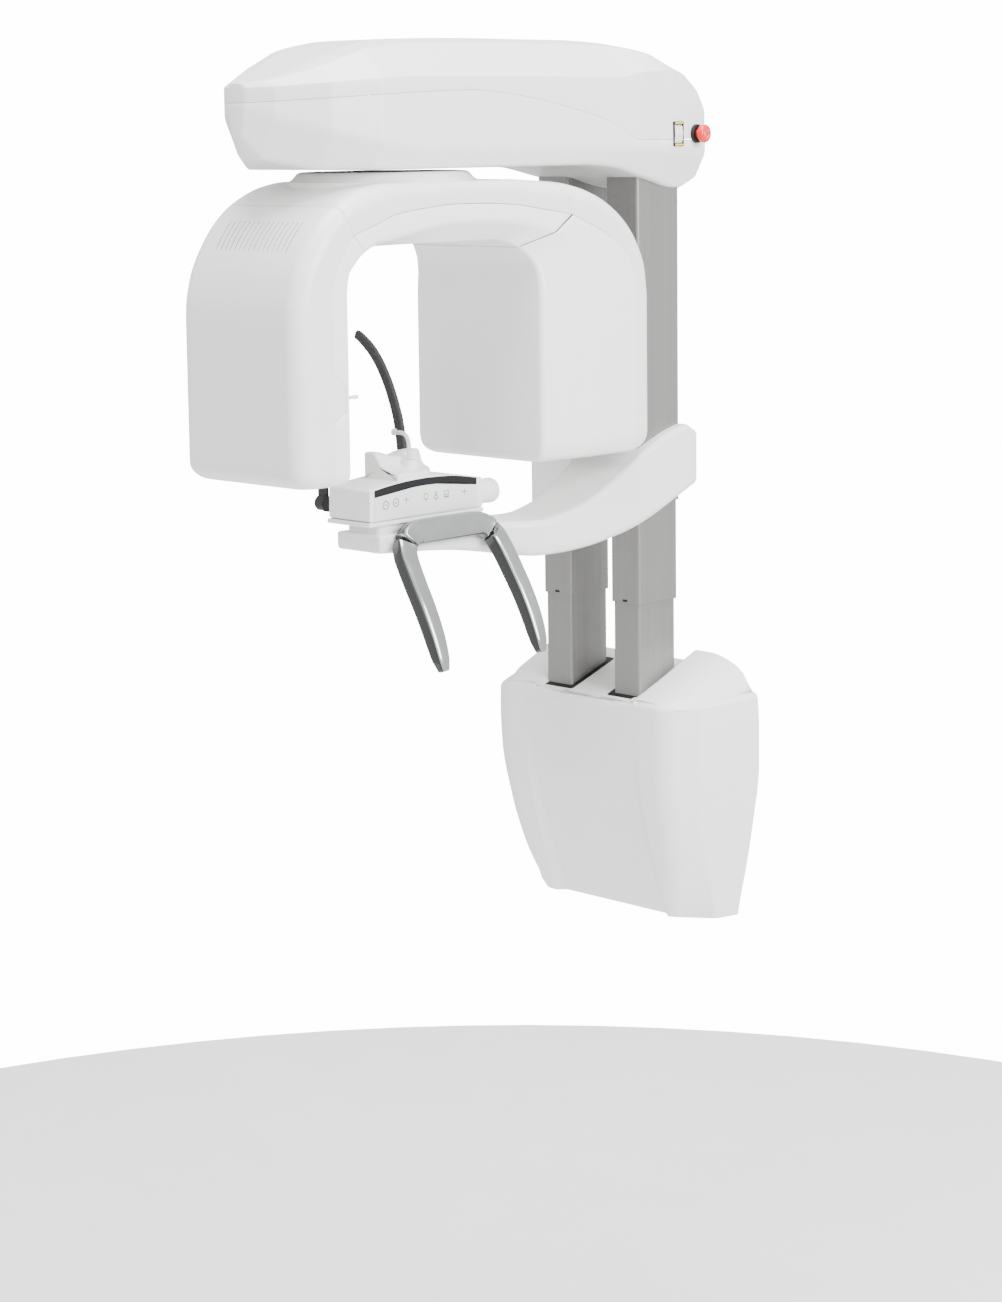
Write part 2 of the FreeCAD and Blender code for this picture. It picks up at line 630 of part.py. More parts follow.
# ---- patient support ----------------------------------------------------------------------------
SUPPORT_SIDE = [(-4.0, 447.0), (-15.0, 447.0), (-120.0, 406.0), (-200.0, 389.0), (-280.0, 381.0),
                (-331.0, 380.0), (-425.0, 396.0), (-520.0, 408.0), (-620.0, 414.0), (-620.0, 438.0),
                (-322.0, 436.0), (-240.0, 456.0), (-174.0, 486.0), (-128.0, 509.0), (-30.0, 544.0),
                (-4.0, 538.0)]
SUPPORT_PLAN = [(106.0, -4.0), (115.0, -18.0), (116.0, -290.0), (106.0, -345.0), (84.0, -394.0),
                (79.9, -407.0), (79.9, -620.0), (-5.0, -620.0), (-5.0, -470.0), (14.0, -400.0),
                (30.0, -350.0), (30.0, -300.0), (18.0, -235.0), (2.0, -165.0), (-20.0, -136.0),
                (-108.0, -128.0), (-115.0, -120.0), (-115.0, -18.0), (-106.0, -4.0)]


def patient_arm():
    """Cast arm that clasps both outer tubes and reaches out to the chin unit."""
    arm = prism_xy(SUPPORT_PLAN, 370, 560).common(prism_yz(SUPPORT_SIDE, -130, 130))
    for x in (-COLUMN_X, COLUMN_X):
        arm = arm.cut(rounded_rect(OUTER_TUBE[0], OUTER_TUBE[1], TUBE_CORNER_R, x, 360, 570))
    core = prism_xy(inset(SUPPORT_PLAN, 5.0), 300, 600).common(prism_yz(inset(SUPPORT_SIDE, 5.0), -130, 130))
    core = core.common(box(-130, 130, -610, COLUMN_Y - 52, 300, 600))
    neck = box(4, 68, -606, -500, 436, BOX_Z[0])
    return join([arm.cut(core), neck])


def control_box_outline(inset_by):
    """Side outline of the control box, its top a low arc."""
    y0, y1 = BOX_Y[0] + inset_by, BOX_Y[1] - inset_by
    z0, z1 = BOX_Z[0] + inset_by, BOX_Z[1] - inset_by
    middle = V(0, (y0 + y1) / 2, z1 + BOX_CROWN)
    edges = [line((y0, z0), (y1, z0)), line((y1, z0), (y1, z1)),
             Part.Arc(V(0, y1, z1), middle, V(0, y0, z1)).toShape(), line((y0, z1), (y0, z0))]
    return Part.Face(Part.Wire(edges))


def control_box():
    """Moulded case of the chin unit."""
    def block(wall):
        """Outside, or inside when wall is more than zero."""
        face = control_box_outline(wall)
        face.translate(V(BOX_X[0] + wall, 0, 0))
        return face.extrude(V(BOX_X[1] - BOX_X[0] - 2 * wall, 0, 0))
    case = block(0.0).cut(block(SHELL))
    for y in KEY_PLACES.values():
        case = case.cut(cylinder((BOX_X[1] - 6, y, KEY_Z), (1, 0, 0), KEY_R - 2, 10))
    return case


def control_panel():
    """Membrane panel on the operator's side, with a hole for each key."""
    y0, y1 = BOX_Y[0] + 5, BOX_Y[1] - 10
    x = BOX_X[1]
    z0, z1 = BOX_Z[0] + 6, BOX_Z[1] + 3
    edges = [
        Part.LineSegment(V(x, y0, z0), V(x, y1, z0)).toShape(),
        Part.LineSegment(V(x, y1, z0), V(x, y1, z1)).toShape(),
        Part.Arc(V(x, y1, z1), V(x, (y0 + y1) / 2, z1 + BOX_CROWN - 4), V(x, y0, z1)).toShape(),
        Part.LineSegment(V(x, y0, z1), V(x, y0, z0)).toShape(),
    ]
    face = Part.Face(Part.Wire(edges))
    panel = face.extrude(V(PANEL_THICK, 0, 0))
    for y in KEY_PLACES.values():
        panel = panel.cut(cylinder((x - 1, y, KEY_Z), (1, 0, 0), KEY_R + 0.3, 6))
    return panel


def panel_key(y):
    """One membrane key, a dome with a plunger behind it."""
    face = cylinder((BOX_X[1] + 0.7, y, KEY_Z), (1, 0, 0), KEY_R, 1.6)
    plunger = cylinder((BOX_X[1] - 5, y, KEY_Z), (1, 0, 0), KEY_R - 2.4, 6)
    return join([face, plunger])


HANDLE_PATH = [(80.0, 0.0, 443.0), (98.0, 2.0, 431.0), (128.0, 8.0, 377.0), (157.0, 13.0, 322.0),
               (180.0, 18.0, 276.0)]
HANDLE_HALF = 80.0          # from the handle's middle to each blade's centre at the top
HANDLE_MID_Y = -503.0
BLADE = (28.0, 14.0)        # width and thickness of the blades


def handle_section(index, side, shrink):
    """Rectangle across a blade at one point of its path."""
    x, spread, z = HANDLE_PATH[index]
    before = HANDLE_PATH[max(index - 1, 0)]
    after = HANDLE_PATH[min(index + 1, len(HANDLE_PATH) - 1)]
    dx, dz = after[0] - before[0], after[2] - before[2]
    length = math.hypot(dx, dz)
    nx, nz = -dz / length, dx / length
    y = HANDLE_MID_Y + side * (HANDLE_HALF + spread)
    half_w, half_t = BLADE[0] / 2 * shrink, BLADE[1] / 2 * shrink
    corners = []
    for w, t in ((-1, -1), (1, -1), (1, 1), (-1, 1)):
        corners.append((x + nx * half_t * t, y + w * half_w, z + nz * half_t * t))
    return polygon_wire(corners)


def handle():
    """U-shaped patient handle: a top bar and two blades that lean out and down."""
    parts = []
    last = len(HANDLE_PATH) - 1
    for side in (-1, 1):
        wires = [handle_section(i, side, 0.62 if i == last else 1.0) for i in range(last + 1)]
        parts.append(Part.makeLoft(wires, True, False))
    y0, y1 = HANDLE_MID_Y - HANDLE_HALF - 14, HANDLE_MID_Y + HANDLE_HALF + 14
    bar = prism([(74.0, y0, 444.0), (80.0, y0, 449.6), (97.0, y0, 440.0), (108.0, y0, 420.0),
                 (97.0, y0, 414.0), (84.0, y0, 438.6), (74.0, y0, 441.0)], (0, y1 - y0, 0))
    flange = box(80, 92, -590, -440, 417, 430)
    seat = box(60, 80, -640, -380, 400, 438.6)    # the support arm fills this corner
    return join([bar, flange] + parts).cut(seat)


CHIN_X = (2.0, 72.0)
CHIN_Y = (-572.0, -472.0)
CUP = (40.0, CHIN_UNIT_Y)
ROD_R = 3.0


def chin_rest():
    """Saddle for the chin with a cup for the bite rod."""
    seat_z = BOX_Z[1] + BOX_CROWN + 0.4
    block = box(CHIN_X[0], CHIN_X[1], CHIN_Y[0], CHIN_Y[1], seat_z, 533)
    dip = cylinder((CHIN_X[0] - 5, CHIN_UNIT_Y, 553), (1, 0, 0), 40, 90)
    cup = cylinder((CUP[0], CUP[1], seat_z), (0, 0, 1), 9, 20)
    rest = join([block.cut(dip), cup])
    return rest.cut(cylinder((CUP[0], CUP[1], seat_z + 3), (0, 0, 1), ROD_R + 0.4, 40))


def bite_rod():
    """Clear rod that stands in the cup and bends over to a biting ring."""
    z0, z1 = BOX_Z[1] + BOX_CROWN + 3.8, 552.0
    bend = 12.0
    path = Part.Wire([
        Part.LineSegment(V(CUP[0], CUP[1], z0), V(CUP[0], CUP[1], z1)).toShape(),
        Part.Arc(V(CUP[0], CUP[1], z1),
                 V(CUP[0] - bend * (1 - math.cos(math.pi / 4)), CUP[1], z1 + bend * math.sin(math.pi / 4)),
                 V(CUP[0] - bend, CUP[1], z1 + bend)).toShape(),
        Part.LineSegment(V(CUP[0] - bend, CUP[1], z1 + bend), V(CUP[0] - 30, CUP[1], z1 + bend)).toShape(),
    ])
    rod = path.makePipe(Part.Wire(Part.makeCircle(ROD_R, V(CUP[0], CUP[1], z0))))
    rod = Part.makeSolid(Part.Shell(Part.Compound([rod]).Faces + [
        Part.Face(Part.Wire(Part.makeCircle(ROD_R, V(CUP[0], CUP[1], z0)))),
        Part.Face(Part.Wire(Part.makeCircle(ROD_R, V(CUP[0] - 30, CUP[1], z1 + bend), V(1, 0, 0))))]))
    ring = cylinder((CUP[0] - 33, CUP[1], z1 + bend), (1, 0, 0), 5, 3)
    return join([rod, ring])


def temple_yoke():
    """Cross beam behind the control box with the two temple pivots."""
    x, z = TEMPLE_PIVOT
    beam = box(-37, BOX_X[0], CHIN_UNIT_Y - 88, CHIN_UNIT_Y + 88, z - 9, z + 9)
    pins = [cylinder((x - 10, CHIN_UNIT_Y + s * TEMPLE_PIVOT_DY, z), (1, 0, 0), 4, 24) for s in (-1, 1)]
    return join([beam] + pins)


def temple_arm(side):
    """Slim curved arm that steadies the head, with its round knuckle on the yoke's pin."""
    px, pz = TEMPLE_PIVOT
    y = CHIN_UNIT_Y + side * TEMPLE_PIVOT_DY
    knuckle = cylinder((px - 9, y, pz), (1, 0, 0), 14, 18)
    tx, tz = TEMPLE_TOP
    lean = TEMPLE_TOP_DY - TEMPLE_PIVOT_DY
    stations = [(px, pz, 0.0), (px - 4, pz + 60, lean * 0.1), (px - 24, pz + 130, lean * 0.4),
                (tx, tz, lean)]
    wires = []
    for x, z, shift in stations:
        yc = y + side * shift
        half_x, half_y = TEMPLE_SECTION[0] / 2, TEMPLE_SECTION[1] / 2
        wires.append(polygon_wire([(x - half_x, yc - half_y, z), (x + half_x, yc - half_y, z),
                                   (x + half_x, yc + half_y, z), (x - half_x, yc + half_y, z)]))
    arm = join([Part.makeLoft(wires, True, False), knuckle])
    return arm.cut(cylinder((px - 12, y, pz), (1, 0, 0), 4.06, 30))


def temple_knob():
    """Round knob on the box's end that opens and closes the temple arms."""
    knob = cylinder((35, -410, 471), (0, 1, 0), 17.5, 57)
    knob = knob.makeFillet(5, [e for e in knob.Edges if e.BoundBox.YMin > -354])
    return join([knob, cylinder((35, -414.6, 471), (0, 1, 0), 9, 5)])


# ---- assembly -----------------------------------------------------------------------------------
def main():
    """Build and write every node."""
    os.makedirs("parts", exist_ok=True)
    save("wall_plate", wall_plate())
    save("lower_bracket", column_bracket(LOWER_BRACKET_Z, BRACKET_HEIGHT))
    save("upper_bracket", column_bracket(UPPER_BRACKET_Z, BRACKET_HEIGHT))
    save("bracket_screws", bracket_screws())
    save("power_supply", power_supply())
    save("mains_inlet", mains_inlet())
    save("base_cover", base_cover())
    for side, x in (("left", -COLUMN_X), ("right", COLUMN_X)):
        save("inner_tube_" + side, column_tube(INNER_TUBE, INNER_TUBE_WALL, INNER_TUBE_Z, x))
        save("middle_tube_" + side, column_tube(MIDDLE_TUBE, TUBE_WALL, MIDDLE_TUBE_Z, x))
        save("outer_tube_" + side, column_tube(OUTER_TUBE, TUBE_WALL, OUTER_TUBE_Z, x))
        save("lift_actuator_" + side, lift_actuator_body(x))
        save("push_rod_" + side, lift_push_rod(x))
    save("glide_clips", glide_clips())
    save("boom_frame", boom_frame())
    save("slide_rails", slide_rails())
    save("control_board", control_board())
    save("boom_upper_cover", boom_cover(True))
    save("boom_lower_cover", boom_cover(False))
    save("rocker_frame", rocker_frame())
    save("rocker", rocker())
    save("stop_collar", stop_collar())
    save("stop_button", stop_button())
    save("head_carriage", head_carriage())
    save("slewing_ring", slewing_ring())
    save("rotation_motor", rotation_motor())
    save("turntable", turntable())
    save("arm_frame", arm_frame())
    for name, cover in arm_covers().items():
        save(name, cover)
    save("sensor_panel", sensor_panel())
    save("xray_tank", xray_tank())
    save("xray_tube", xray_tube())
    save("collimator", collimator())
    save("laser_lever", laser_lever())
    save("patient_arm", patient_arm())
    save("control_box", control_box())
    save("control_panel", control_panel())
    for name, y in KEY_PLACES.items():
        save(name, panel_key(y))
    save("handle", handle())
    save("chin_rest", chin_rest())
    save("bite_rod", bite_rod())
    save("temple_yoke", temple_yoke())
    save("temple_arm_front", temple_arm(-1))
    save("temple_arm_rear", temple_arm(1))
    save("temple_knob", temple_knob())


main()
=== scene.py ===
import json
import logging
import math
from dataclasses import dataclass, field
from enum import Enum

import bmesh
import bpy
import numpy as np
from mathutils import Matrix, Vector


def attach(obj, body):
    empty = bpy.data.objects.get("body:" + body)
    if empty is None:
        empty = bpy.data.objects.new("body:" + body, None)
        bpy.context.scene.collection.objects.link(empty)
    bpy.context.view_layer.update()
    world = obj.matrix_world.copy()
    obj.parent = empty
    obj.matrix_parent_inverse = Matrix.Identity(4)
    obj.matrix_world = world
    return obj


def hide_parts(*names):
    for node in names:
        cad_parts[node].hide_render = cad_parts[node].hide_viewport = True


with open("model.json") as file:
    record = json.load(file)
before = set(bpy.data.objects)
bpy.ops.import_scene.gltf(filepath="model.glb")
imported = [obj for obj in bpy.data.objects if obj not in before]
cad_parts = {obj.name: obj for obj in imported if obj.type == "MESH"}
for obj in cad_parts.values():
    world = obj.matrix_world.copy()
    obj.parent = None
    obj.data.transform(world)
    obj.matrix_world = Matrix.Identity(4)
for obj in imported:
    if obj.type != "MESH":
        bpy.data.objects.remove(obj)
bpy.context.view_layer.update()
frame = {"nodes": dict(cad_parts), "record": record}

LOG = logging.getLogger("panoramic_machine")
MM = 0.001
Array = np.ndarray
Patch = tuple[Array, Array]


# ---- curves and surfaces, all in millimetres -------------------------------------------------
def held(*rows: tuple) -> Array:
    """A dataclass field that holds a table of numbers."""
    return field(default_factory=lambda: np.array(rows, float))


def smooth(x: Array, y: Array, at: Array) -> Array:
    """Monotone cubic curve through (x, y): Hermite pieces whose slopes are harmonic means.

    Args:
        x: rising positions of the known points.
        y: values there.
        at: positions wanted.
    Returns:
        The values at those positions.
    """
    x, y, at = np.asarray(x, float), np.asarray(y, float), np.asarray(at, float)
    h, d = np.diff(x), np.diff(y) / np.diff(x)
    m = np.concatenate([d[:1], np.zeros(len(d) - 1), d[-1:]])
    both = d[:-1] * d[1:]
    m[1:-1] = np.where(both > 0, 2 * both / np.where(both > 0, d[:-1] + d[1:], 1.0), 0.0)
    i = np.clip(np.searchsorted(x, at, side="right") - 1, 0, len(h) - 1)
    t = np.clip((at - x[i]) / h[i], 0.0, 1.0)
    rise = y[i] * (2 * t**3 - 3 * t**2 + 1) + y[i + 1] * (3 * t**2 - 2 * t**3)
    return rise + h[i] * (m[i] * (t**3 - 2 * t**2 + t) + m[i + 1] * (t**3 - t**2))


def table(rows: Array, at: Array) -> Array:
    """Smooth value of every column of a table whose first column is the rising position.

    Args:
        rows: table with one row for each known position.
        at: positions wanted.
    Returns:
        One row of values for each position wanted.
    """
    rows = np.asarray(rows, float)
    return np.stack([smooth(rows[:, 0], column, at) for column in rows[:, 1:].T], -1)


def through(points: Array, count: int) -> Array:
    """Smooth line through points, even in chord length.

    Args:
        points: the points that the line goes through.
        count: how many points to give.
    Returns:
        The line's points.
    """
    points = np.asarray(points, float)
    run = np.concatenate([[0.0], np.cumsum(np.linalg.norm(np.diff(points, axis=0), axis=1))])
    return table(np.column_stack([run, points]), np.linspace(0.0, run[-1], count))


def unit(v: Array) -> Array:
    """Vectors of length one along the last axis."""
    return v / np.maximum(np.linalg.norm(v, axis=-1, keepdims=True), 1e-9)


def arcs(before: Array, at: Array, after: Array, radius: Array, steps: int) -> Array:
    """Circular fillets at corners, as rational quadratic curves weighted by the half angle's sine.

    Args:
        before: the corner's neighbour on the way in.
        at: the corner.
        after: the neighbour on the way out.
        radius: the fillet's radius.
        steps: points on each fillet.
    Returns:
        Points with one more axis, the steps, before the last.
    """
    a, b = unit(before - at), unit(after - at)
    half = np.arccos(np.clip((a * b).sum(-1), -0.99999, 0.99999)) / 2
    room = 0.48 * np.minimum(np.linalg.norm(before - at, axis=-1), np.linalg.norm(after - at, axis=-1))
    reach = np.minimum(radius / np.tan(half), room)[..., None]
    s = np.linspace(0.0, 1.0, steps)[:, None]
    first, mid, last = (1 - s) ** 2, 2 * s * (1 - s), s**2
    w = np.sin(half)[..., None, None]
    start, end, peak = (at + a * reach)[..., None, :], (at + b * reach)[..., None, :], at[..., None, :]
    return (first * start + mid * w * peak + last * end) / (first + mid * w + last)


def ring(corners: Array, radii: Array, steps: int = 6) -> Array:
    """Closed outlines with rounded corners.

    Args:
        corners: corner points, shaped (..., corners, dimensions).
        radii: radius at each corner.
        steps: points on each corner.
    Returns:
        The outline's points, shaped (..., corners * steps, dimensions).
    """
    corners = np.asarray(corners, float)
    radii = np.broadcast_to(np.asarray(radii, float), corners.shape[:-1])
    made = arcs(np.roll(corners, 1, -2), corners, np.roll(corners, -1, -2), radii, steps)
    return made.reshape(*corners.shape[:-2], -1, corners.shape[-1])


def open_line(corners: Array, radii: Array, steps: int = 6) -> Array:
    """The same for open outlines: the first and last points stay as they are.

    Args:
        corners: corner points, shaped (..., corners, dimensions).
        radii: radius at each inner corner.
        steps: points on each corner.
    Returns:
        The outline's points.
    """
    corners = np.asarray(corners, float)
    inner = corners[..., 1:-1, :]
    radii = np.broadcast_to(np.asarray(radii, float), inner.shape[:-1])
    made = arcs(corners[..., :-2, :], inner, corners[..., 2:, :], radii, steps)
    made = made.reshape(*inner.shape[:-2], -1, corners.shape[-1])
    return np.concatenate([corners[..., :1, :], made, corners[..., -1:, :]], -2)


def sheet(points: Array, wrap: bool = False) -> Patch:
    """Quads over a grid of points, shaped (rows, columns, 3).

    Args:
        points: the grid.
        wrap: whether the last column joins the first.
    Returns:
        Vertices and faces.
    """
    n, m = points.shape[:2]
    index = np.arange(n * m).reshape(n, m)
    if wrap:
        index = np.concatenate([index, index[:, :1]], 1)
    a, b, c, d = index[:-1, :-1], index[:-1, 1:], index[1:, 1:], index[1:, :-1]
    return points.reshape(-1, 3), np.stack([a, b, c, d], -1).reshape(-1, 4)


def inward(loop: Array, distance: float) -> Array:
    """A closed flat outline moved inwards along its own normals.

    Args:
        loop: the outline's points.
        distance: how far.
    Returns:
        The smaller outline.
    """
    middle = loop.mean(0)
    tangent = unit(np.roll(loop, -1, 0) - np.roll(loop, 1, 0))
    facing = np.cross(loop - middle, np.roll(loop, -1, 0) - middle).sum(0)
    normal = unit(np.cross(tangent, unit(facing)))
    return loop - normal * distance


def closed_loft(rings: Array, round_start: float = 0.0, round_end: float = 0.0, steps: int = 5) -> Patch:
    """A skin through closed outlines whose ends are rounded over by quarter circles and closed.

    Args:
        rings: outlines, shaped (stations, points, 3).
        round_start: radius at the first end.
        round_end: radius at the last end.
        steps: rows on each rounded end.
    Returns:
        Vertices and faces.
    """
    turn = np.linspace(0.0, math.pi / 2, steps + 1)[1:]

    def end(loop: Array, out: Array, radius: float) -> list[Array]:
        """Outlines that close one end."""
        bends = turn if radius else []
        made = [inward(loop, radius * (1 - math.cos(t))) + out * radius * math.sin(t) for t in bends]
        last = made[-1] if made else loop
        middle = last.mean(0)
        return made + [middle + (last - middle) * 0.5, np.broadcast_to(middle, last.shape)]

    first = unit(rings[0].mean(0) - rings[1].mean(0))
    final = unit(rings[-1].mean(0) - rings[-2].mean(0))
    rows = end(rings[0], first, round_start)[::-1] + list(rings) + end(rings[-1], final, round_end)
    return sheet(np.stack(rows), wrap=True)


def along_x(loop: Array, x: Array) -> Array:
    """Copies of an outline given in Y and Z, one for each X."""
    x = np.asarray(x, float)
    made = np.empty((len(x), len(loop), 3))
    made[..., 0], made[..., 1:] = x[:, None], loop
    return made


def swept(path: Array, wide: Array, thick: Array, half_w: Array, half_t: Array, power: float = 2.6,
          count: int = 28) -> Array:
    """Superellipse sections carried along a path: |w / half_w|^power + |t / half_t|^power = 1.

    Args:
        path: the path's points.
        wide: direction of the section's width at each point.
        thick: direction of its thickness.
        half_w: half widths.
        half_t: half thicknesses.
        power: 2 is an ellipse, more is squarer.
        count: points round the section.
    Returns:
        Outlines, shaped (stations, points, 3).
    """
    a = np.linspace(0.0, 2 * math.pi, count, endpoint=False)
    c = np.sign(np.cos(a)) * np.abs(np.cos(a)) ** (2 / power)
    s = np.sign(np.sin(a)) * np.abs(np.sin(a)) ** (2 / power)
    half_w, half_t = np.asarray(half_w)[:, None, None], np.asarray(half_t)[:, None, None]
    across, through_it = wide[:, None] * half_w * c[None, :, None], thick[:, None] * half_t * s[None, :, None]
    return path[:, None] + across + through_it


def turned(profile: Array, centre: Array, axis: Array, count: int = 48) -> Patch:
    """A profile of (radius, height) turned about an axis.

    Args:
        profile: radius and height pairs.
        centre: a point on the axis at height zero.
        axis: the axis's direction.
        count: steps round.
    Returns:
        Vertices and faces.
    """
    profile, axis = np.asarray(profile, float), unit(np.asarray(axis, float))
    side = unit(np.cross(axis, [0.3, 0.5, 0.81]))
    other = np.cross(axis, side)
    a = np.linspace(0.0, 2 * math.pi, count, endpoint=False)
    spoke = np.cos(a)[:, None] * side + np.sin(a)[:, None] * other
    points = np.asarray(centre, float) + profile[:, :1, None] * spoke[None] + profile[:, 1:, None] * axis
    return sheet(points, wrap=True)


# ---- finishes --------------------------------------------------------------------------------
class Pattern:
    """Node helpers for one material, with patterns in object coordinates in metres."""

    def __init__(self, name: str) -> None:
        """Start an empty material with a Principled shader."""
        self.material = bpy.data.materials.new(name)
        self.material.use_nodes = True
        self.tree = self.material.node_tree
        self.shader = self.tree.nodes["Principled BSDF"]
        self.place = self.tree.nodes.new("ShaderNodeTexCoord").outputs["Object"]

    def put(self, **values: object) -> None:
        """Set the shader's own sockets by name, with _ for a space."""
        for name, value in values.items():
            self.shader.inputs[name.replace("_", " ")].default_value = value

    def stretched(self, scale: tuple[float, float, float]) -> bpy.types.NodeSocket:
        """Object coordinates stretched along each axis."""
        node = self.tree.nodes.new("ShaderNodeMapping")
        node.inputs["Scale"].default_value = scale
        self.tree.links.new(self.place, node.inputs["Vector"])
        return node.outputs["Vector"]

    def noise(self, scale: float, detail: float = 3.0, vector: bpy.types.NodeSocket | None = None,
              rough: float = 0.5) -> bpy.types.NodeSocket:
        """Fractal noise, 0 to 1."""
        node = self.tree.nodes.new("ShaderNodeTexNoise")
        node.inputs["Scale"].default_value = scale
        node.inputs["Detail"].default_value = detail
        node.inputs["Roughness"].default_value = rough
        self.tree.links.new(vector or self.place, node.inputs["Vector"])
        return node.outputs["Fac"]

    def ramp(self, value: bpy.types.NodeSocket, low: tuple, high: tuple, start: float = 0.3,
             end: float = 0.7) -> bpy.types.NodeSocket:
        """Colour between low and high as the value goes from start to end."""
        node = self.tree.nodes.new("ShaderNodeValToRGB")
        node.color_ramp.elements[0].position, node.color_ramp.elements[1].position = start, end
        node.color_ramp.elements[0].color = (*low, 1.0)
        node.color_ramp.elements[1].color = (*high, 1.0)
        self.tree.links.new(value, node.inputs["Fac"])
        return node.outputs["Color"]

    def spread(self, value: bpy.types.NodeSocket, low: float, high: float) -> bpy.types.NodeSocket:
        """The value 0.3 to 0.7 stretched to low to high."""
        node = self.tree.nodes.new("ShaderNodeMapRange")
        node.inputs["From Min"].default_value, node.inputs["From Max"].default_value = 0.3, 0.7
        node.inputs["To Min"].default_value, node.inputs["To Max"].default_value = low, high
        self.tree.links.new(value, node.inputs["Value"])
        return node.outputs["Result"]

    def bump(self, value: bpy.types.NodeSocket, strength: float, distance: float) -> None:
        """Raise the surface by the value, over whatever bump it already has."""
        node = self.tree.nodes.new("ShaderNodeBump")
        node.inputs["Strength"].default_value = strength
        node.inputs["Distance"].default_value = distance
        self.tree.links.new(value, node.inputs["Height"])
        normal = self.shader.inputs["Normal"]
        if normal.is_linked:
            self.tree.links.new(normal.links[0].from_socket, node.inputs["Normal"])
        self.tree.links.new(node.outputs["Normal"], normal)

    def link(self, value: bpy.types.NodeSocket, name: str) -> None:
        """Lead a value to one of the shader's sockets."""
        self.tree.links.new(value, self.shader.inputs[name])

    def tone(self, value: bpy.types.NodeSocket, colour: tuple, dark: float, light: float = 1.0) -> None:
        """Vary the base colour from its darkened to its lightened tint by the value."""
        self.link(self.ramp(value, tint(colour, dark), tint(colour, light)), "Base Color")

    def sheen(self, value: bpy.types.NodeSocket, low: float, high: float) -> None:
        """Vary the roughness from low to high by the value."""
        self.link(self.spread(value, low, high), "Roughness")


def tint(colour: tuple, factor: float) -> tuple:
    """A colour made lighter or darker."""
    return tuple(min(1.0, c * factor) for c in colour)


@dataclass(frozen=True)
class Moulded:
    """Moulded plastic: faint mottling, fine spark-eroded grain and a soft gloss."""

    name: str
    colour: tuple
    roughness: float = 0.38
    grain: float = 0.10
    coat: float = 0.15
    specular: float = 0.5

    def make(self) -> bpy.types.Material:
        """Returns: the material."""
        p = Pattern(self.name)
        p.put(Coat_Weight=self.coat, Coat_Roughness=0.18, IOR=1.49, Specular_IOR_Level=self.specular)
        p.tone(p.noise(7.0, 4.0), self.colour, 0.972)
        p.sheen(p.noise(45.0, 5.0), self.roughness - 0.04, self.roughness + 0.05)
        p.bump(p.noise(1400.0, 2.0), self.grain, 0.00008)
        p.bump(p.noise(9.0, 1.0), 0.04, 0.0015)
        return p.material


@dataclass(frozen=True)
class Extruded:
    """Satin anodised extrusion: die lines that run up the tube under a fine etched grain."""

    name: str
    colour: tuple
    roughness: float = 0.42
    metallic: float = 0.65

    def make(self) -> bpy.types.Material:
        """Returns: the material."""
        p = Pattern(self.name)
        p.put(Metallic=self.metallic, IOR=1.6)
        lines = p.noise(1.0, 4.0, p.stretched((420.0, 420.0, 1.2)), 0.7)
        p.tone(lines, self.colour, 0.93, 1.05)
        drawn = p.noise(1.0, 3.0, p.stretched((160.0, 160.0, 3.0)))
        p.sheen(drawn, self.roughness - 0.05, self.roughness + 0.07)
        p.bump(lines, 0.10, 0.0002)
        p.bump(p.noise(2200.0, 2.0), 0.05, 0.00005)
        return p.material


@dataclass(frozen=True)
class Sprayed:
    """Sprayed enamel over a casting or sheet: slight orange peel and a clear top layer."""

    name: str
    colour: tuple
    roughness: float = 0.34
    peel: float = 0.16

    def make(self) -> bpy.types.Material:
        """Returns: the material."""
        p = Pattern(self.name)
        p.put(Coat_Weight=0.3, Coat_Roughness=0.12, IOR=1.5)
        p.tone(p.noise(5.0, 4.0), self.colour, 0.965)
        p.sheen(p.noise(60.0, 4.0), self.roughness - 0.04, self.roughness + 0.06)
        p.bump(p.noise(320.0, 2.0), self.peel, 0.0001)
        return p.material


@dataclass(frozen=True)
class Polished:
    """Worked metal: brushed, turned or polished, with faint handling marks."""

    name: str
    colour: tuple
    roughness: float = 0.24
    stretch: tuple = (60.0, 60.0, 60.0)
    marks: float = 0.06

    def make(self) -> bpy.types.Material:
        """Returns: the material."""
        p = Pattern(self.name)
        p.put(Metallic=0.92, IOR=1.7)
        field_of_marks = p.noise(1.0, 5.0, p.stretched(self.stretch), 0.6)
        p.tone(field_of_marks, self.colour, 0.88, 1.06)
        p.sheen(p.noise(26.0, 5.0), self.roughness - 0.05, self.roughness + 0.08)
        p.bump(field_of_marks, self.marks, 0.0002)
        return p.material


@dataclass(frozen=True)
class Clear:
    """Clear moulded plastic or glass with faint flow streaks."""

    name: str
    colour: tuple
    roughness: float = 0.06
    clear: float = 0.9

    def make(self) -> bpy.types.Material:
        """Returns: the material."""
        p = Pattern(self.name)
        p.put(Transmission_Weight=self.clear, IOR=1.47)
        p.tone(p.noise(30.0, 2.0), self.colour, 0.97)
        p.sheen(p.noise(80.0, 3.0), self.roughness, self.roughness + 0.08)
        p.bump(p.noise(160.0, 2.0), 0.04, 0.0002)
        return p.material


@dataclass(frozen=True)
class Board:
    """Printed circuit board: green mask with darker copper areas and small pads."""

    name: str
    colour: tuple

    def make(self) -> bpy.types.Material:
        """Returns: the material."""
        p = Pattern(self.name)
        cells = p.tree.nodes.new("ShaderNodeTexVoronoi")
        cells.inputs["Scale"].default_value = 180.0
        p.tree.links.new(p.place, cells.inputs["Vector"])
        copper = p.ramp(cells.outputs["Distance"], tint(self.colour, 2.2), self.colour, 0.1, 0.35)
        p.link(copper, "Base Color")
        p.sheen(p.noise(300.0), 0.3, 0.5)
        p.bump(cells.outputs["Distance"], 0.2, 0.0003)
        return p.material


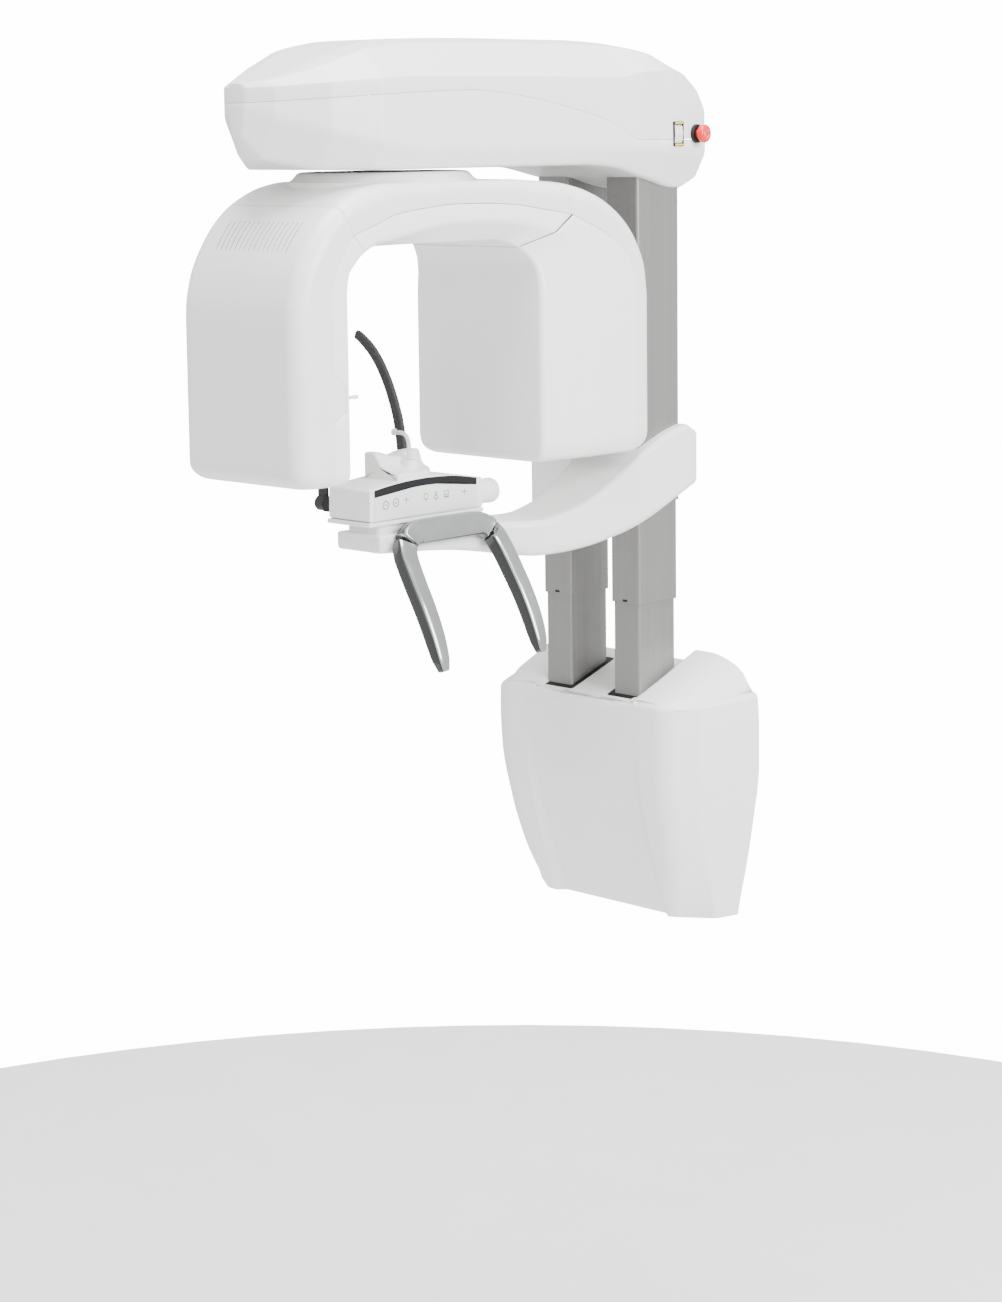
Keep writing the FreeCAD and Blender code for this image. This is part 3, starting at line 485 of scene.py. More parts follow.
WHITE = (0.83, 0.826, 0.818)


class Finish(Enum):
    """Every finish on the machine."""

    COVER = Moulded("cover_white", WHITE)
    LINER = Moulded("liner_white", WHITE, roughness=0.42)
    CASTING = Sprayed("casting_white", WHITE)
    COLUMN = Extruded("column_anodised", (0.245, 0.242, 0.238))
    FRAME = Sprayed("frame_grey", (0.23, 0.235, 0.25), roughness=0.5)
    STEEL = Polished("ground_steel", (0.62, 0.62, 0.62), stretch=(300.0, 300.0, 6.0))
    MOTOR = Sprayed("motor_black", (0.05, 0.05, 0.055), roughness=0.5)
    SHEET = Polished("folded_sheet", (0.58, 0.59, 0.60), roughness=0.4)
    ALLOY = Polished("machined_alloy", (0.70, 0.70, 0.70), roughness=0.35)
    # Real black mouldings, and also the painted shade in the column gaps and in the laser lever's slot.
    BLACK = Moulded("black_moulding_and_gap_shade", (0.006, 0.006, 0.0065), roughness=0.5, grain=0.2, coat=0.0,
                    specular=0.3)
    BOARD = Board("circuit_board", (0.02, 0.13, 0.05))
    ROCKER = Moulded("rocker_ivory", (0.80, 0.79, 0.73), roughness=0.35)
    YELLOW = Moulded("marker_yellow", (0.82, 0.66, 0.03), roughness=0.4)
    RED = Moulded("stop_red", (0.22, 0.0008, 0.002), roughness=0.3, grain=0.04, coat=0.15, specular=0.35)
    RED_MARK = Moulded("stop_mark", (0.75, 0.35, 0.34), roughness=0.4)
    GLASS = Clear("tube_glass", (0.86, 0.90, 0.91))
    LEAD = Polished("lead_plate", (0.25, 0.25, 0.27), roughness=0.5)
    FILM = Moulded("panel_film", (0.72, 0.73, 0.745), roughness=0.45, grain=0.16, coat=0.05)
    BAND = Moulded("panel_band", (0.004, 0.0045, 0.006), roughness=0.3, grain=0.08, specular=0.3)
    MARK = Moulded("panel_marks", (0.035, 0.037, 0.042), roughness=0.5)
    # Handle metal in two copies: near black painted shade on faces turned from the lamps, its own grey-green
    # on faces turned to them.
    HANDLE = Sprayed("handle_painted_shade", (0.010, 0.013, 0.012), roughness=0.2, peel=0.02)
    HANDLE_FRONT = Polished("handle_lit_faces", (0.42, 0.45, 0.44), roughness=0.2, stretch=(3.0, 3.0, 9.0),
                            marks=0.0)
    TEMPLE = Moulded("temple_black", (0.004, 0.004, 0.0045), roughness=0.38, grain=0.12, coat=0.0,
                     specular=0.35)
    ROD = Clear("bite_rod_clear", (0.92, 0.94, 0.95), roughness=0.12, clear=0.55)
    SLOT = Moulded("slot_shadow", (0.05, 0.05, 0.052), roughness=0.8, coat=0.0, specular=0.2)

    def material(self) -> bpy.types.Material:
        """The finish's material, made once."""
        return bpy.data.materials.get(self.value.name) or self.value.make()


NODE_FINISH: dict[str, Finish] = {
    "white_cover": Finish.COVER, "liner_white": Finish.LINER, "arm_casting": Finish.CASTING,
    "column_aluminium": Finish.COLUMN, "steel_frame": Finish.FRAME, "bright_steel": Finish.STEEL,
    "actuator_case": Finish.MOTOR, "supply_case": Finish.SHEET, "alloy": Finish.ALLOY,
    "black_plastic": Finish.BLACK, "circuit_board": Finish.BOARD, "rocker_plastic": Finish.ROCKER,
    "stop_red": Finish.RED, "lever_white": Finish.COVER, "tube_glass": Finish.GLASS,
    "lead_plates": Finish.LEAD, "panel_membrane": Finish.FILM, "key_dome": Finish.FILM,
    "handle_metal": Finish.HANDLE, "temple_black": Finish.TEMPLE, "clear_rod": Finish.ROD,
}


@dataclass
class Piece:
    """One visible piece: its patches, its finish, the body it rides on and the nodes it stands for."""

    name: str
    body: str
    finish: Finish
    slot: str
    patches: list[Patch]
    nodes: tuple[str, ...] = ()
    wall: float = 0.0
    sharp: float = 38.0
    second: Finish | None = None
    second_faces: Array | None = None

    def make(self) -> bpy.types.Object:
        """Weld the patches, turn the faces outwards, give the walls their thickness and dress the piece.

        Returns:
            The finished object.
        """
        start, points, faces = 0, [], []
        for p, f in self.patches:
            points.append(p)
            faces.append(f + start)
            start += len(p)
        mesh = bpy.data.meshes.new(self.name)
        mesh.from_pydata((np.concatenate(points) * MM).tolist(), [], np.concatenate(faces).tolist())
        if self.second_faces is not None:
            mesh.polygons.foreach_set("material_index", self.second_faces.astype(np.int32))
        self._weld(mesh)
        mesh.polygons.foreach_set("use_smooth", np.ones(len(mesh.polygons), bool))
        mesh.set_sharp_from_angle(angle=math.radians(self.sharp))
        piece = bpy.data.objects.new(self.name, mesh)
        bpy.context.scene.collection.objects.link(piece)
        mesh.materials.append(self.finish.material())
        if self.second:
            mesh.materials.append(self.second.material())
        if self.wall:
            solid = piece.modifiers.new("wall", "SOLIDIFY")
            solid.thickness, solid.offset, solid.use_even_offset = self.wall * MM, -1.0, False
        weighted = piece.modifiers.new("normals", "WEIGHTED_NORMAL")
        weighted.keep_sharp, weighted.weight = True, 60
        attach(piece, self.body)
        if self.nodes:
            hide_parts(*self.nodes)
        LOG.info("%s: %d faces on %s", self.name, len(mesh.polygons), self.body)
        return piece

    @staticmethod
    def _weld(mesh: bpy.types.Mesh) -> None:
        """Merge the patches' shared edges and poles, then face everything away from the middle."""
        work = bmesh.new()
        work.from_mesh(mesh)
        bmesh.ops.remove_doubles(work, verts=work.verts, dist=2e-6)
        bmesh.ops.dissolve_degenerate(work, edges=work.edges, dist=1e-6)
        bmesh.ops.recalc_face_normals(work, faces=work.faces)
        middle = sum((v.co for v in work.verts), Vector()) / len(work.verts)
        out = sum(f.calc_area() * f.normal.dot(f.calc_center_median() - middle) for f in work.faces)
        if out < 0:
            bmesh.ops.reverse_faces(work, faces=work.faces)
        work.to_mesh(mesh)
        work.free()


# ---- the boom --------------------------------------------------------------------------------
@dataclass
class Boom:
    """Two moulded covers over the boom, with the stop button and the mains rocker on its side."""

    gap: float = 0.5
    wall: float = 2.4
    # distance from the wall, half width at the seam, half width at the upper crease
    half: Array = held(
        (0, 122, 121), (60, 129, 128), (93, 132.6, 131), (112, 128.6, 132.3), (140, 128.2, 132.6),
        (166, 128.1, 127.5), (400, 128, 127), (600, 127, 126.2))
    nose: Array = held(
        (127, 600), (125.5, 640), (96, 702), (49, 756), (15, 777), (0, 778))
    top: Array = held(
        (0, 1004, 990), (8, 1016, 1004), (19, 1030, 1018), (40, 1050, 1033), (58, 1061, 1043),
        (90, 1075, 1048), (150, 1085, 1044), (175, 1087, 1038), (230, 1089, 1037), (400, 1089, 1037),
        (560, 1086, 1036.5), (620, 1081, 1035), (650, 1072, 1033), (690, 1056, 1029.5), (720, 1044, 1027),
        (750, 1034, 1024.5), (779, 1028, 1022))
    seam: Array = held(
        (0, 950), (147, 951), (180, 963), (216, 978), (293, 996), (400, 1013), (479, 1019),
        (583, 1016), (790, 1003))
    floor: Array = held(
        (0, 893, 930), (30, 880, 932), (120, 898, 936), (185, 912, 938), (245, 917, 938), (560, 917, 940),
        (650, 917, 952), (702, 918, 966), (740, 924, 978), (765, 940, 988), (779, 962, 996))

    def rows(self) -> tuple[Array, Array, Array]:
        """Rows across the boom, close together round the nose.

        Returns:
            Half widths at the seam and at the crease, and distances from the wall.
        """
        back = np.linspace(0.5, 596.0, 96)
        front = open_line(self.nose, 22.0, 9)
        wide, high = table(self.half, back).T
        return (np.concatenate([wide, front[1:, 0]]), np.concatenate([high, front[1:, 0] * 0.993]),
                np.concatenate([back, front[1:, 1]]))

    def upper(self) -> Patch:
        """The upper cover: at each row the side rises to a crease, then a chamfer leads to the flat top.

        Returns:
            Vertices and faces.
        """
        wide, high, deep = self.rows()
        top, crease = table(self.top, deep).T
        seam = table(self.seam, deep)[:, 0]
        crease = np.maximum(crease, seam + 2.0)
        top = np.maximum(top, crease + 3.0)
        half = [(wide, seam), (high, crease), (0.70 * high, top - 0.14 * (top - crease)), (0.45 * high, top)]
        return self._skin(deep, half, [2.4, 16.0, 60.0])

    def lower(self) -> Patch:
        """The lower cover: the side comes down to a soft crease, then turns under to the floor.

        Returns:
            Vertices and faces.
        """
        wide, _, deep = self.rows()
        floor, crease = table(self.floor, deep).T
        seam = table(self.seam, deep)[:, 0] - self.gap
        crease = np.minimum(crease, seam - 3.0)
        tuck = np.clip((crease - floor) * 0.55, 3.0, 30.0) * np.clip(wide / 50.0, 0.0, 1.0)
        half = [(wide, seam), (wide, crease), (wide - tuck, floor)]
        return self._skin(deep, half, [30.0, 12.0])

    @staticmethod
    def _skin(deep: Array, half: list, radii: list[float]) -> Patch:
        """Mirror a half section and round its corners.

        Args:
            deep: distance from the wall of each row.
            half: half width and height of each corner, from the seam to the middle.
            radii: radius at each corner after the first.
        Returns:
            Vertices and faces.
        """
        right = np.stack([np.stack([x, -deep, z], -1) for x, z in half], 1)
        left = right[:, ::-1] * [-1.0, 1.0, 1.0]
        corners = np.concatenate([right, left], 1)
        return sheet(open_line(corners, radii + radii[::-1], 7))

    def switch_point(self, deep: float, out: float) -> tuple[Array, Array]:
        """A point off the side face and the face's outward direction.

        Args:
            deep: distance from the wall.
            out: distance off the face.
        Returns:
            The point, at the switches' height, and the direction.
        """
        way = unit(np.array([95.0, 11.0, 0.0]))
        return np.array([122.0 + deep * 11.0 / 95.0, -deep, 958.0]) + way * out, way

    def stop(self) -> None:
        """Red mushroom head with a turning mark, on its black collar."""
        foot, way = self.switch_point(25.0, 0.0)
        collar = [(0.0, -2.0), (11.0, -2.0), (11.4, 0.2), (13.2, 0.3), (13.5, 1.2), (13.3, 4.2), (12.4, 5.0),
                  (7.2, 5.0), (7.0, 4.0), (0.0, 4.0)]
        Piece("stop_collar_ring", "carriage", Finish.BLACK, "black_plastic", [turned(collar, foot, way)],
              ("stop_collar",)).make()
        head = [(0.0, 4.2), (6.6, 4.2), (6.8, 9.6), (10.8, 10.4), (12.6, 11.6), (13.0, 13.2), (12.9, 16.4),
                (12.2, 18.4), (10.6, 19.6), (8.6, 20.0), (7.8, 19.5), (3.0, 19.2), (0.0, 19.1)]
        Piece("stop_mushroom", "stop_button", Finish.RED, "stop_red", [turned(head, foot, way)],
              ("stop_button",)).make()
        side = np.array([-way[1], way[0], 0.0])
        marks = []
        for turn in (0.4, 2.5, 4.6):
            a = np.linspace(turn, turn + 1.2, 14)[:, None]
            line = foot + way * 19.5 + (np.cos(a) * side + np.sin(a) * [0.0, 0.0, 1.0]) * 5.4
            spoke, up = unit(line - foot - way * 19.5), np.broadcast_to(way, line.shape)
            wide, thick = np.linspace(0.35, 0.9, 14), np.full(14, 0.3)
            marks.append(closed_loft(swept(line, spoke, up, wide, thick, 2.2, 8)))
        Piece("stop_marks", "stop_button", Finish.RED_MARK, "stop_red", marks).make()

    def switch(self) -> None:
        """Mains rocker in its black bezel, with a yellow bar above and below."""
        middle, way = self.switch_point(70.0, 0.0)
        side, up = np.array([-way[1], way[0], 0.0]), np.array([0.0, 0.0, 1.0])

        def slab(x: tuple, y: tuple, z: tuple, radius: float) -> Patch:
            """A rounded slab, x out of the face, y along it and z up."""
            loop = ring(np.array([(y[0], z[0]), (y[1], z[0]), (y[1], z[1]), (y[0], z[1])]), radius, 4)
            out = np.array([x[0], x[1] - 0.5])[:, None, None]
            rings = middle + out * way + loop[None, :, :1] * side + loop[None, :, 1:] * up
            return closed_loft(rings, 0.0, 0.5, 3)
        bars = [((0.0, 2.2), (-12.5, 12.5), (s * 15.1 - 2.3, s * 15.1 + 2.3)) for s in (-1, 1)]
        sides = [((0.0, 2.2), (s * 11.3 - 1.1, s * 11.3 + 1.1), (-13.2, 13.2)) for s in (-1, 1)]
        Piece("rocker_bezel", "carriage", Finish.BLACK, "black_plastic",
              [slab(*s, 0.6) for s in bars + sides]
              + [slab((-6.0, -2.4), (-10.8, 10.8), (-13.0, 13.0), 0.5)],
              ("rocker_frame",)).make()
        Piece("rocker_bars", "carriage", Finish.YELLOW, "black_plastic",
              [slab((2.1, 2.9), (-9.6, 9.6), (s * 15.2 - 1.2, s * 15.2 + 1.2), 0.4) for s in (-1, 1)]).make()
        face = np.array([(-2.2, -11.2), (1.5, -11.2), (2.2, -5.0), (3.3, 0.0), (2.2, 5.0), (1.5, 11.2),
                         (-2.2, 11.2)])
        loop = ring(face, [0.3, 0.8, 4.0, 3.0, 4.0, 0.8, 0.3], 5)
        across = np.array([-9.1, 9.1])[:, None, None]
        key = middle + loop[None, :, :1] * way + loop[None, :, 1:] * up + across * side
        Piece("rocker_key", "rocker", Finish.ROCKER, "rocker_plastic", [closed_loft(key, 0.5, 0.5, 3)],
              ("rocker",)).make()

    def build(self) -> None:
        """Make both covers and both switches."""
        Piece("boom_upper_skin", "carriage", Finish.COVER, "white_cover", [self.upper()],
              ("boom_upper_cover",), self.wall).make()
        Piece("boom_lower_skin", "carriage", Finish.COVER, "white_cover", [self.lower()],
              ("boom_lower_cover",), self.wall).make()
        self.stop()
        self.switch()


# ---- the turning C-arm -----------------------------------------------------------------------
@dataclass
class TurningArm:
    """The C-arm: six mouldings, cut along the long side seam and two cross seams.

    Each station across the arm has four points in Y and Z: the outside O, the long seam S, the crease C
    on the side face and the inside I. The section is a rounded polygon through them.
    """

    middle: float = 10.0
    axis_y: float = -532.0
    feet: tuple[float, float] = (517.0, 513.0)
    gap: float = 0.4
    wall: float = 2.4
    plan: Array = held(
        (0, 133), (257, 133), (357, 124), (600, 118), (700, 115), (800, 115))
    # station, O, S, C, I, half width of the inner face
    arch: Array = held(
        (0, -795, 725, -735, 725, -712, 730, -706, 730, 114),
        (1, -793.9, 745, -735, 752, -713, 753, -706, 757, 114),
        (2, -784.4, 785.2, -727, 789, -705, 785, -701.2, 786, 112),
        (3, -753.8, 838.1, -713, 812, -692, 799, -690.6, 802, 109),
        (4, -714, 873, -695, 834, -675, 812, -674.5, 814, 104),
        (5, -664.6, 895, -657, 848, -646, 824, -651, 820, 97),
        (6, -619, 901, -618, 861, -607, 832, -612, 820, 92),
        (7, -571, 901, -571, 867, -571, 840, -571, 820, 89),
        (8, -518, 901, -518, 871, -513, 847, -515, 820, 89),
        (9, -460, 901, -465, 870.5, -458, 847, -460, 820, 89),
        (10, -405, 901, -413, 868, -400, 843, -412, 820, 91),
        (11, -360, 898.5, -357, 860.5, -362, 836, -392.6, 814.8, 96),
        (12, -317, 895.5, -302, 851, -332, 828, -382.6, 809.1, 103),
        (13, -258, 882, -275, 840, -305, 816, -372.4, 800.1, 110),
        (14, -203, 855, -240, 825, -282, 802, -364, 788.2, 115),
        (15, -166, 815, -205, 803, -265, 784, -359.3, 776.5, 119),
        (16, -149, 772, -181, 774, -257, 765, -357.2, 765.2, 121),
        (17, -145, 735, -174, 739, -256, 740, -357, 740, 123))
    vent_heights: tuple[float, float] = (817.0, 853.0)
    vent_count: int = 16
    oval: float = 0.82
    vent_pitch: float = 9.0

    def stations(self, start: float, end: float, per: int = 7) -> Array:
        """Smooth stations of the arch between two station numbers."""
        at = np.linspace(start, end, int(round((end - start) * per)) + 1)
        return table(self.arch, at)

    def leg(self, front: bool) -> Array:
        """Stations of a straight leg, with its foot rounded over.

        Args:
            front: the sensor leg, or else the tube head's.
        Returns:
            Stations from the foot up, with the sideways pull at the foot as one more column.
        """
        foot = self.feet[0 if front else 1]
        low = np.array([0.0, 0.4, 1.6, 3.8, 7.0, 11.0, 16.0, 22.0, 30.0, 40.0])
        jog = [597.0, 600.0, 611.0, 614.0, 645.0, 648.0, 661.0, 664.0] if front else []
        z = np.concatenate([foot + low, [580.0], jog, [690.0, 722.0 if front else 732.0]])
        base = self.arch[0 if front else -1, 1:]
        made = np.tile(base, (len(z), 1))
        made[:, 1::2][:, :4] = z[:, None]
        h = z - foot

        def tuck(radius: float) -> Array:
            """How far a quarter circle of that radius pulls in at each height."""
            left = np.clip(radius - h, 0.0, radius)
            return radius - np.sqrt(np.maximum(radius**2 - left**2, 0.0))
        out, side, inner = (26.0, 18.0, 10.0) if front else (30.0, 28.0, 14.0)
        sign = 1.0 if front else -1.0
        made[:, 0] += sign * tuck(out)
        made[:, 6] -= sign * tuck(inner)
        made[:, 4] -= sign * tuck(inner) * 0.5
        if front:
            made[:, 2] += np.interp(z, [598, 613, 646, 663], [0.0, 21.0, 21.0, 0.0])
        return np.column_stack([made, tuck(side)])

    def skins(self, rows: Array, outer: bool, face: Array) -> Array:
        """Sections of the outer or inner moulding as open rounded polygons.

        Args:
            rows: stations with the sideways pull as the last column.
            outer: the outer moulding, or else the inner one.
            face: positions across the broad face, as fractions from left to right.
        Returns:
            Points, shaped (stations, points, 3).
        """
        o, s, c, i = rows[:, 0:2], rows[:, 2:4], rows[:, 4:6], rows[:, 6:8]
        inner_half, pull = rows[:, 8], rows[:, 9]

        def width(p: Array) -> Array:
            """Half width of the side face at a point's depth."""
            return table(self.plan, -p[:, 0])[:, 0] - pull

        def at(half: Array, p: Array, sign: float) -> Array:
            """Points at a half width on one side."""
            return np.column_stack([self.middle + sign * half, p])
        if outer:
            edge = s + unit(o - s) * self.gap
            left = [at(width(s), edge, -1), at(width(o), o, -1)]
            right = [at(width(o), o, 1), at(width(s), edge, 1)]
            radii = np.interp(-o[:, :1], [600.0, 715.0], [30.0, 24.0])
        else:
            edge = s + unit(c - s) * self.gap
            inner_half = inner_half - pull
            left = [at(width(s), edge, -1), at(width(c), c, -1), at(inner_half, i, -1)]
            right = [at(inner_half, i, 1), at(width(c), c, 1), at(width(s), edge, 1)]
            radii = [9.0, 9.0, 9.0, 9.0]
        line = open_line(np.stack(left + right, 1), radii, 8)
        half = line.shape[1] // 2
        a, b = line[:, half - 1:half], line[:, half:half + 1]
        across = a + (b - a) * face[None, 1:-1, None]
        return np.concatenate([line[:, :half], across, line[:, half:]], 1)

    def lid(self, row: Array, face: Array) -> Patch:
        """Flat underside of a leg: straight lines between the left and right edges of its last section."""
        n = (len(row) - (len(face) - 2)) // 2
        left, right = row[:n, None], row[::-1][:n, None]
        return sheet(left + (right - left) * face[None, :, None])

    def with_pull(self, rows: Array) -> Array:
        """Stations with no sideways pull."""
        return np.column_stack([rows, np.zeros(len(rows))])

    def sensor_outer(self) -> tuple[list[Patch], Array]:
        """The sensor leg's outside, with a row of cooling slots pressed into its shoulder.

        Returns:
            Patches, and which faces are the slots' floors.
        """
        ats = np.linspace(0.0, 3.99, 33)
        z = table(self.arch, ats)[:, 1]
        ends = np.interp(self.vent_heights, z, ats)
        ats = np.unique(np.concatenate([ats, ends, ends + [-0.004, 0.004]]))
        arch = self.with_pull(table(self.arch, ats))
        rows = np.concatenate([self.leg(True), arch])
        half = 115.0 - 24.0
        places = (np.arange(self.vent_count) - (self.vent_count - 1) / 2) * self.vent_pitch + 0.5
        cuts = (places[:, None] + np.array([-1.12, -1.0, 1.0, 1.12])).ravel()
        face = np.concatenate([[0.0], (cuts + half) / (2 * half), [1.0]])
        skin = self.skins(rows, True, face)
        inside = np.zeros(len(rows), bool)
        inside[len(rows) - len(ats):] = (ats >= ends[0] - 1e-9) & (ats <= ends[1] + 1e-9)
        deep = np.zeros(skin.shape[1], bool)
        first = (skin.shape[1] - (len(face) - 2)) // 2
        k = np.arange(self.vent_count) * 4 + first
        deep[k + 1] = deep[k + 2] = True
        sunk = inside[:, None] & deep[None]
        towards = unit(rows[:, 2:4] - rows[:, 0:2])
        skin[..., 1:] += sunk[..., None] * towards[:, None] * 2.6
        grid, lid = sheet(skin), self.lid(skin[0], face)
        floor = sunk[:-1, :-1] & sunk[1:, :-1] & sunk[:-1, 1:] & sunk[1:, 1:]
        return [grid, lid], np.concatenate([floor.ravel(), np.zeros(len(lid[1]), bool)])

    def turntable(self) -> Patch:
        """The arm's oval top under the boom, with a soft slope down to the arch."""
        profile = [(0.0, 913.6), (118.0, 913.6), (121.5, 913.0), (125.0, 911.2), (128.5, 907.6),
                   (132.0, 904.0), (136.0, 901.8), (139.0, 900.9), (139.5, 890.0), (0.0, 890.0)]
        points, faces = turned(profile, (0.0, self.axis_y, 0.0), (0, 0, 1), 128)
        points = points * [self.oval, 1.0, 1.0] + [self.middle, 0.0, 0.0]
        return points, faces

    def lever(self) -> None:
        """White pin of the positioning light, with a black block behind it as painted shade in its slot in
        the sensor leg's edge.
        """
        x, y, z = 114.0, -706.0, 630.0
        pin = [(0.0, -6.0), (2.3, -6.0), (2.3, 20.6), (2.7, 21.0), (2.7, 25.2), (2.0, 26.6), (0.0, 26.9)]
        Piece("laser_pin", "laser_lever", Finish.COVER, "lever_white",
              [turned(pin, (x, y - 4.0, z), (0, 1, 0), 24)], ("laser_lever",)).make()
        corners = [(x - 3.4, z - 15.0), (x + 3.4, z - 15.0), (x + 3.4, z + 15.0), (x - 3.4, z + 15.0)]
        loop = ring(np.array(corners), 3.2, 6)
        rings = np.stack([np.column_stack([loop[:, 0], np.full(len(loop), d), loop[:, 1]])
                          for d in (y - 3.0, y + 0.25)])
        # The black block is painted shade in the white liner's slot behind the pin.
        Piece("laser_slot_shade", "c_arm", Finish.BLACK, "liner_white", [closed_loft(rings, 0.0, 0.3, 2)]).make()

    def build(self) -> None:
        """Make the six mouldings, the turntable and the lever."""
        even = np.linspace(0.0, 1.0, 11)
        patches, floors = self.sensor_outer()
        Piece("sensor_leg_outer", "c_arm", Finish.COVER, "white_cover", patches, ("sensor_leg_cover",),
              self.wall, second=Finish.SLOT, second_faces=floors).make()
        rows = np.concatenate([self.leg(True), self.with_pull(self.stations(0.0, 3.99))])
        skin = self.skins(rows, False, even)
        lidded = [sheet(skin), self.lid(skin[0], even)]
        Piece("sensor_leg_inner", "c_arm", Finish.LINER, "liner_white", lidded, ("sensor_leg_liner",),
              self.wall).make()
        arch = self.with_pull(self.stations(4.01, 11.988))
        Piece("arch_upper", "c_arm", Finish.COVER, "white_cover", [sheet(self.skins(arch, True, even))],
              ("bridge_cover",), self.wall).make()
        arch = self.with_pull(self.stations(4.01, 11.96))
        Piece("arch_lower", "c_arm", Finish.LINER, "liner_white", [sheet(self.skins(arch, False, even))],
              ("arch_ceiling",), self.wall).make()
        for name, outer, finish, slot, node, start in (
                ("tube_leg_outer", True, Finish.COVER, "white_cover", "tube_leg_back", 12.012),
                ("tube_leg_inner", False, Finish.LINER, "liner_white", "tube_head_cover", 12.05)):
            rows = np.concatenate([self.leg(False), self.with_pull(self.stations(start, 17.0)[::-1])])
            skin = self.skins(rows, outer, even)
            lidded = [sheet(skin), self.lid(skin[0], even)]
            Piece(name, "c_arm", finish, slot, lidded, (node,), self.wall).make()
        Piece("arm_turntable", "c_arm", Finish.COVER, "white_cover", [self.turntable()],
              ("turntable",)).make()
        self.lever()


# ---- columns and base ------------------------------------------------------------------------
@dataclass
class WallBase:
    """The moulded cover over the wall bracket, with black painted shade in the gap round each column."""

    wall: float = 2.6
    rim: float = 9.0
    rows: int = 40
    foot: float = -186.0
    head: float = 215.0
    column_edge: float = 103.0
    shoulder: float = 108.0
    slope: float = 0.335
    # how much fuller the left side's corners are than the right's, in X and Y
    fuller: Array = held((1.0, 1.0), (1.05, 1.0), (1.065, 1.04), (1.0, 1.0), (1.0, 1.0), (1.0, 1.0))
    # height, half width at the wall, crease X and Y, front corner X and Y, front Y, recess
    levels: Array = held(
        (-186, 183, 173, 38, 122, 74, 78, 12), (-165, 187, 175, 44, 128, 82, 86, 12),
        (-110, 199, 177, 60, 143, 103, 106, 11), (-40, 212, 181, 82, 152, 122, 126, 7),
        (46, 223, 188, 91, 158, 137, 141, 1.5), (100, 223, 190, 94, 159, 138, 141, 0),
        (205, 214, 186, 92, 156, 134, 137, 0))
    crown: Array = held(
        (0, 185), (88, 185), (93, 189), (98, 199), (104, 202.5), (135, 202), (175, 191), (205, 168),
        (225, 140))

    def roof(self, x: Array, y: Array) -> Array:
        """Height of the top: flat in the middle, a raised wing on each side, falling to the front."""
        base = table(self.crown, np.abs(x))[..., 0]
        slope = np.where(np.abs(x) < 93.0, self.slope, np.interp(np.abs(x), [93, 100], [self.slope, 0.42]))
        return base + slope * y

    def side_ring(self, z: Array) -> Array:
        """Plan outline at each height, from the wall on the left round the front to the wall on the right.

        Args:
            z: heights.
        Returns:
            Points, shaped (heights, points, 2).
        """
        half, cx, cy, fx, fy, front, recess = table(self.levels, z).T
        right = [(half, -1.2 + 0 * z), (cx, -cy), (fx, -fy), (0 * z + 112, -front + 0.4),
                 (0 * z + 100, -front + recess), (0 * z + 50, -front + recess)]
        right = np.stack([np.stack(p, -1) for p in right], 1)
        corners = np.concatenate([right * [-1, 1] * self.fuller, right[:, ::-1]], 1)
        radii = [16.0, 44.0, 8.0, 10.0, 10.0]
        return open_line(corners, radii + radii[::-1], 8)

    def shell(self) -> list[Patch]:
        """Side rows climb to the roof's height at each point, the rim turns over, then the roof closes it.

        Returns:
            Patches.
        """
        v = np.linspace(0.0, 1.0, self.rows)
        top_plan = self.side_ring(np.array([185.0]))[0]
        lid_z = self.roof(top_plan[:, 0], top_plan[:, 1])
        heights = self.foot + v[:, None] * (lid_z[None] - self.rim - self.foot)
        plans = self.side_ring(np.linspace(self.foot, self.head, 2 * self.rows))
        column, steps = np.arange(plans.shape[1]), len(plans) - 1
        where = (heights - self.foot) / (self.head - self.foot) * steps
        low = np.clip(where.astype(int), 0, steps - 1)
        part = (where - low)[..., None]
        plan = plans[low, column] * (1 - part) + plans[low + 1, column] * part
        last = plan[-1]
        tangent = unit(np.gradient(last, axis=0))
        normal = np.column_stack([-tangent[:, 1], tangent[:, 0]])
        normal *= np.sign((normal * (np.array([0.0, -60.0]) - last)).sum(-1, keepdims=True))
        normal[[0, -1]] = [[1.0, 0.0], [-1.0, 0.0]]
        turn = np.linspace(0.0, math.pi / 2, 7)[1:, None, None]
        over = last[None] + normal[None] * self.rim * (1 - np.cos(turn))
        z = (lid_z - self.rim)[None] + self.rim * np.sin(turn[..., 0])
        side = np.concatenate([np.concatenate([plan, heights[..., None]], -1),
                               np.concatenate([over, z[..., None]], -1)])
        return [sheet(side), self._roof_sheet(side[-1])]

    def _roof_sheet(self, rim: Array) -> Patch:
        """The roof between the rim's two sides, with grid lines beside the columns and the raised wings.

        Args:
            rim: the side's top row.
        Returns:
            Vertices and faces.
        """
        n = len(rim) // 2
        left, right = rim[:n], rim[::-1][:n]
        beside = np.array([30.9, 31.0, 60, 88, 93, 98, self.column_edge, self.column_edge + 0.1])
        inner = np.concatenate([-beside[::-1], [0.0], beside])
        f = np.linspace(0.0, 1.0, 12)[:-1]
        x_left = left[:, :1] * (1 - f) + (-self.shoulder) * f
        x = np.concatenate([x_left, np.broadcast_to(inner, (n, len(inner))), -x_left[:, ::-1]], 1)
        y = np.broadcast_to(left[:, 1:2], x.shape).copy()
        z = self.roof(x, y)
        edge = np.clip((np.abs(left[:, :1]) - np.abs(x)) / 14.0, 0.0, 1.0)
        z = left[:, 2:3] * (1 - edge) + z * edge
        return sheet(np.stack([x, y, z], -1))

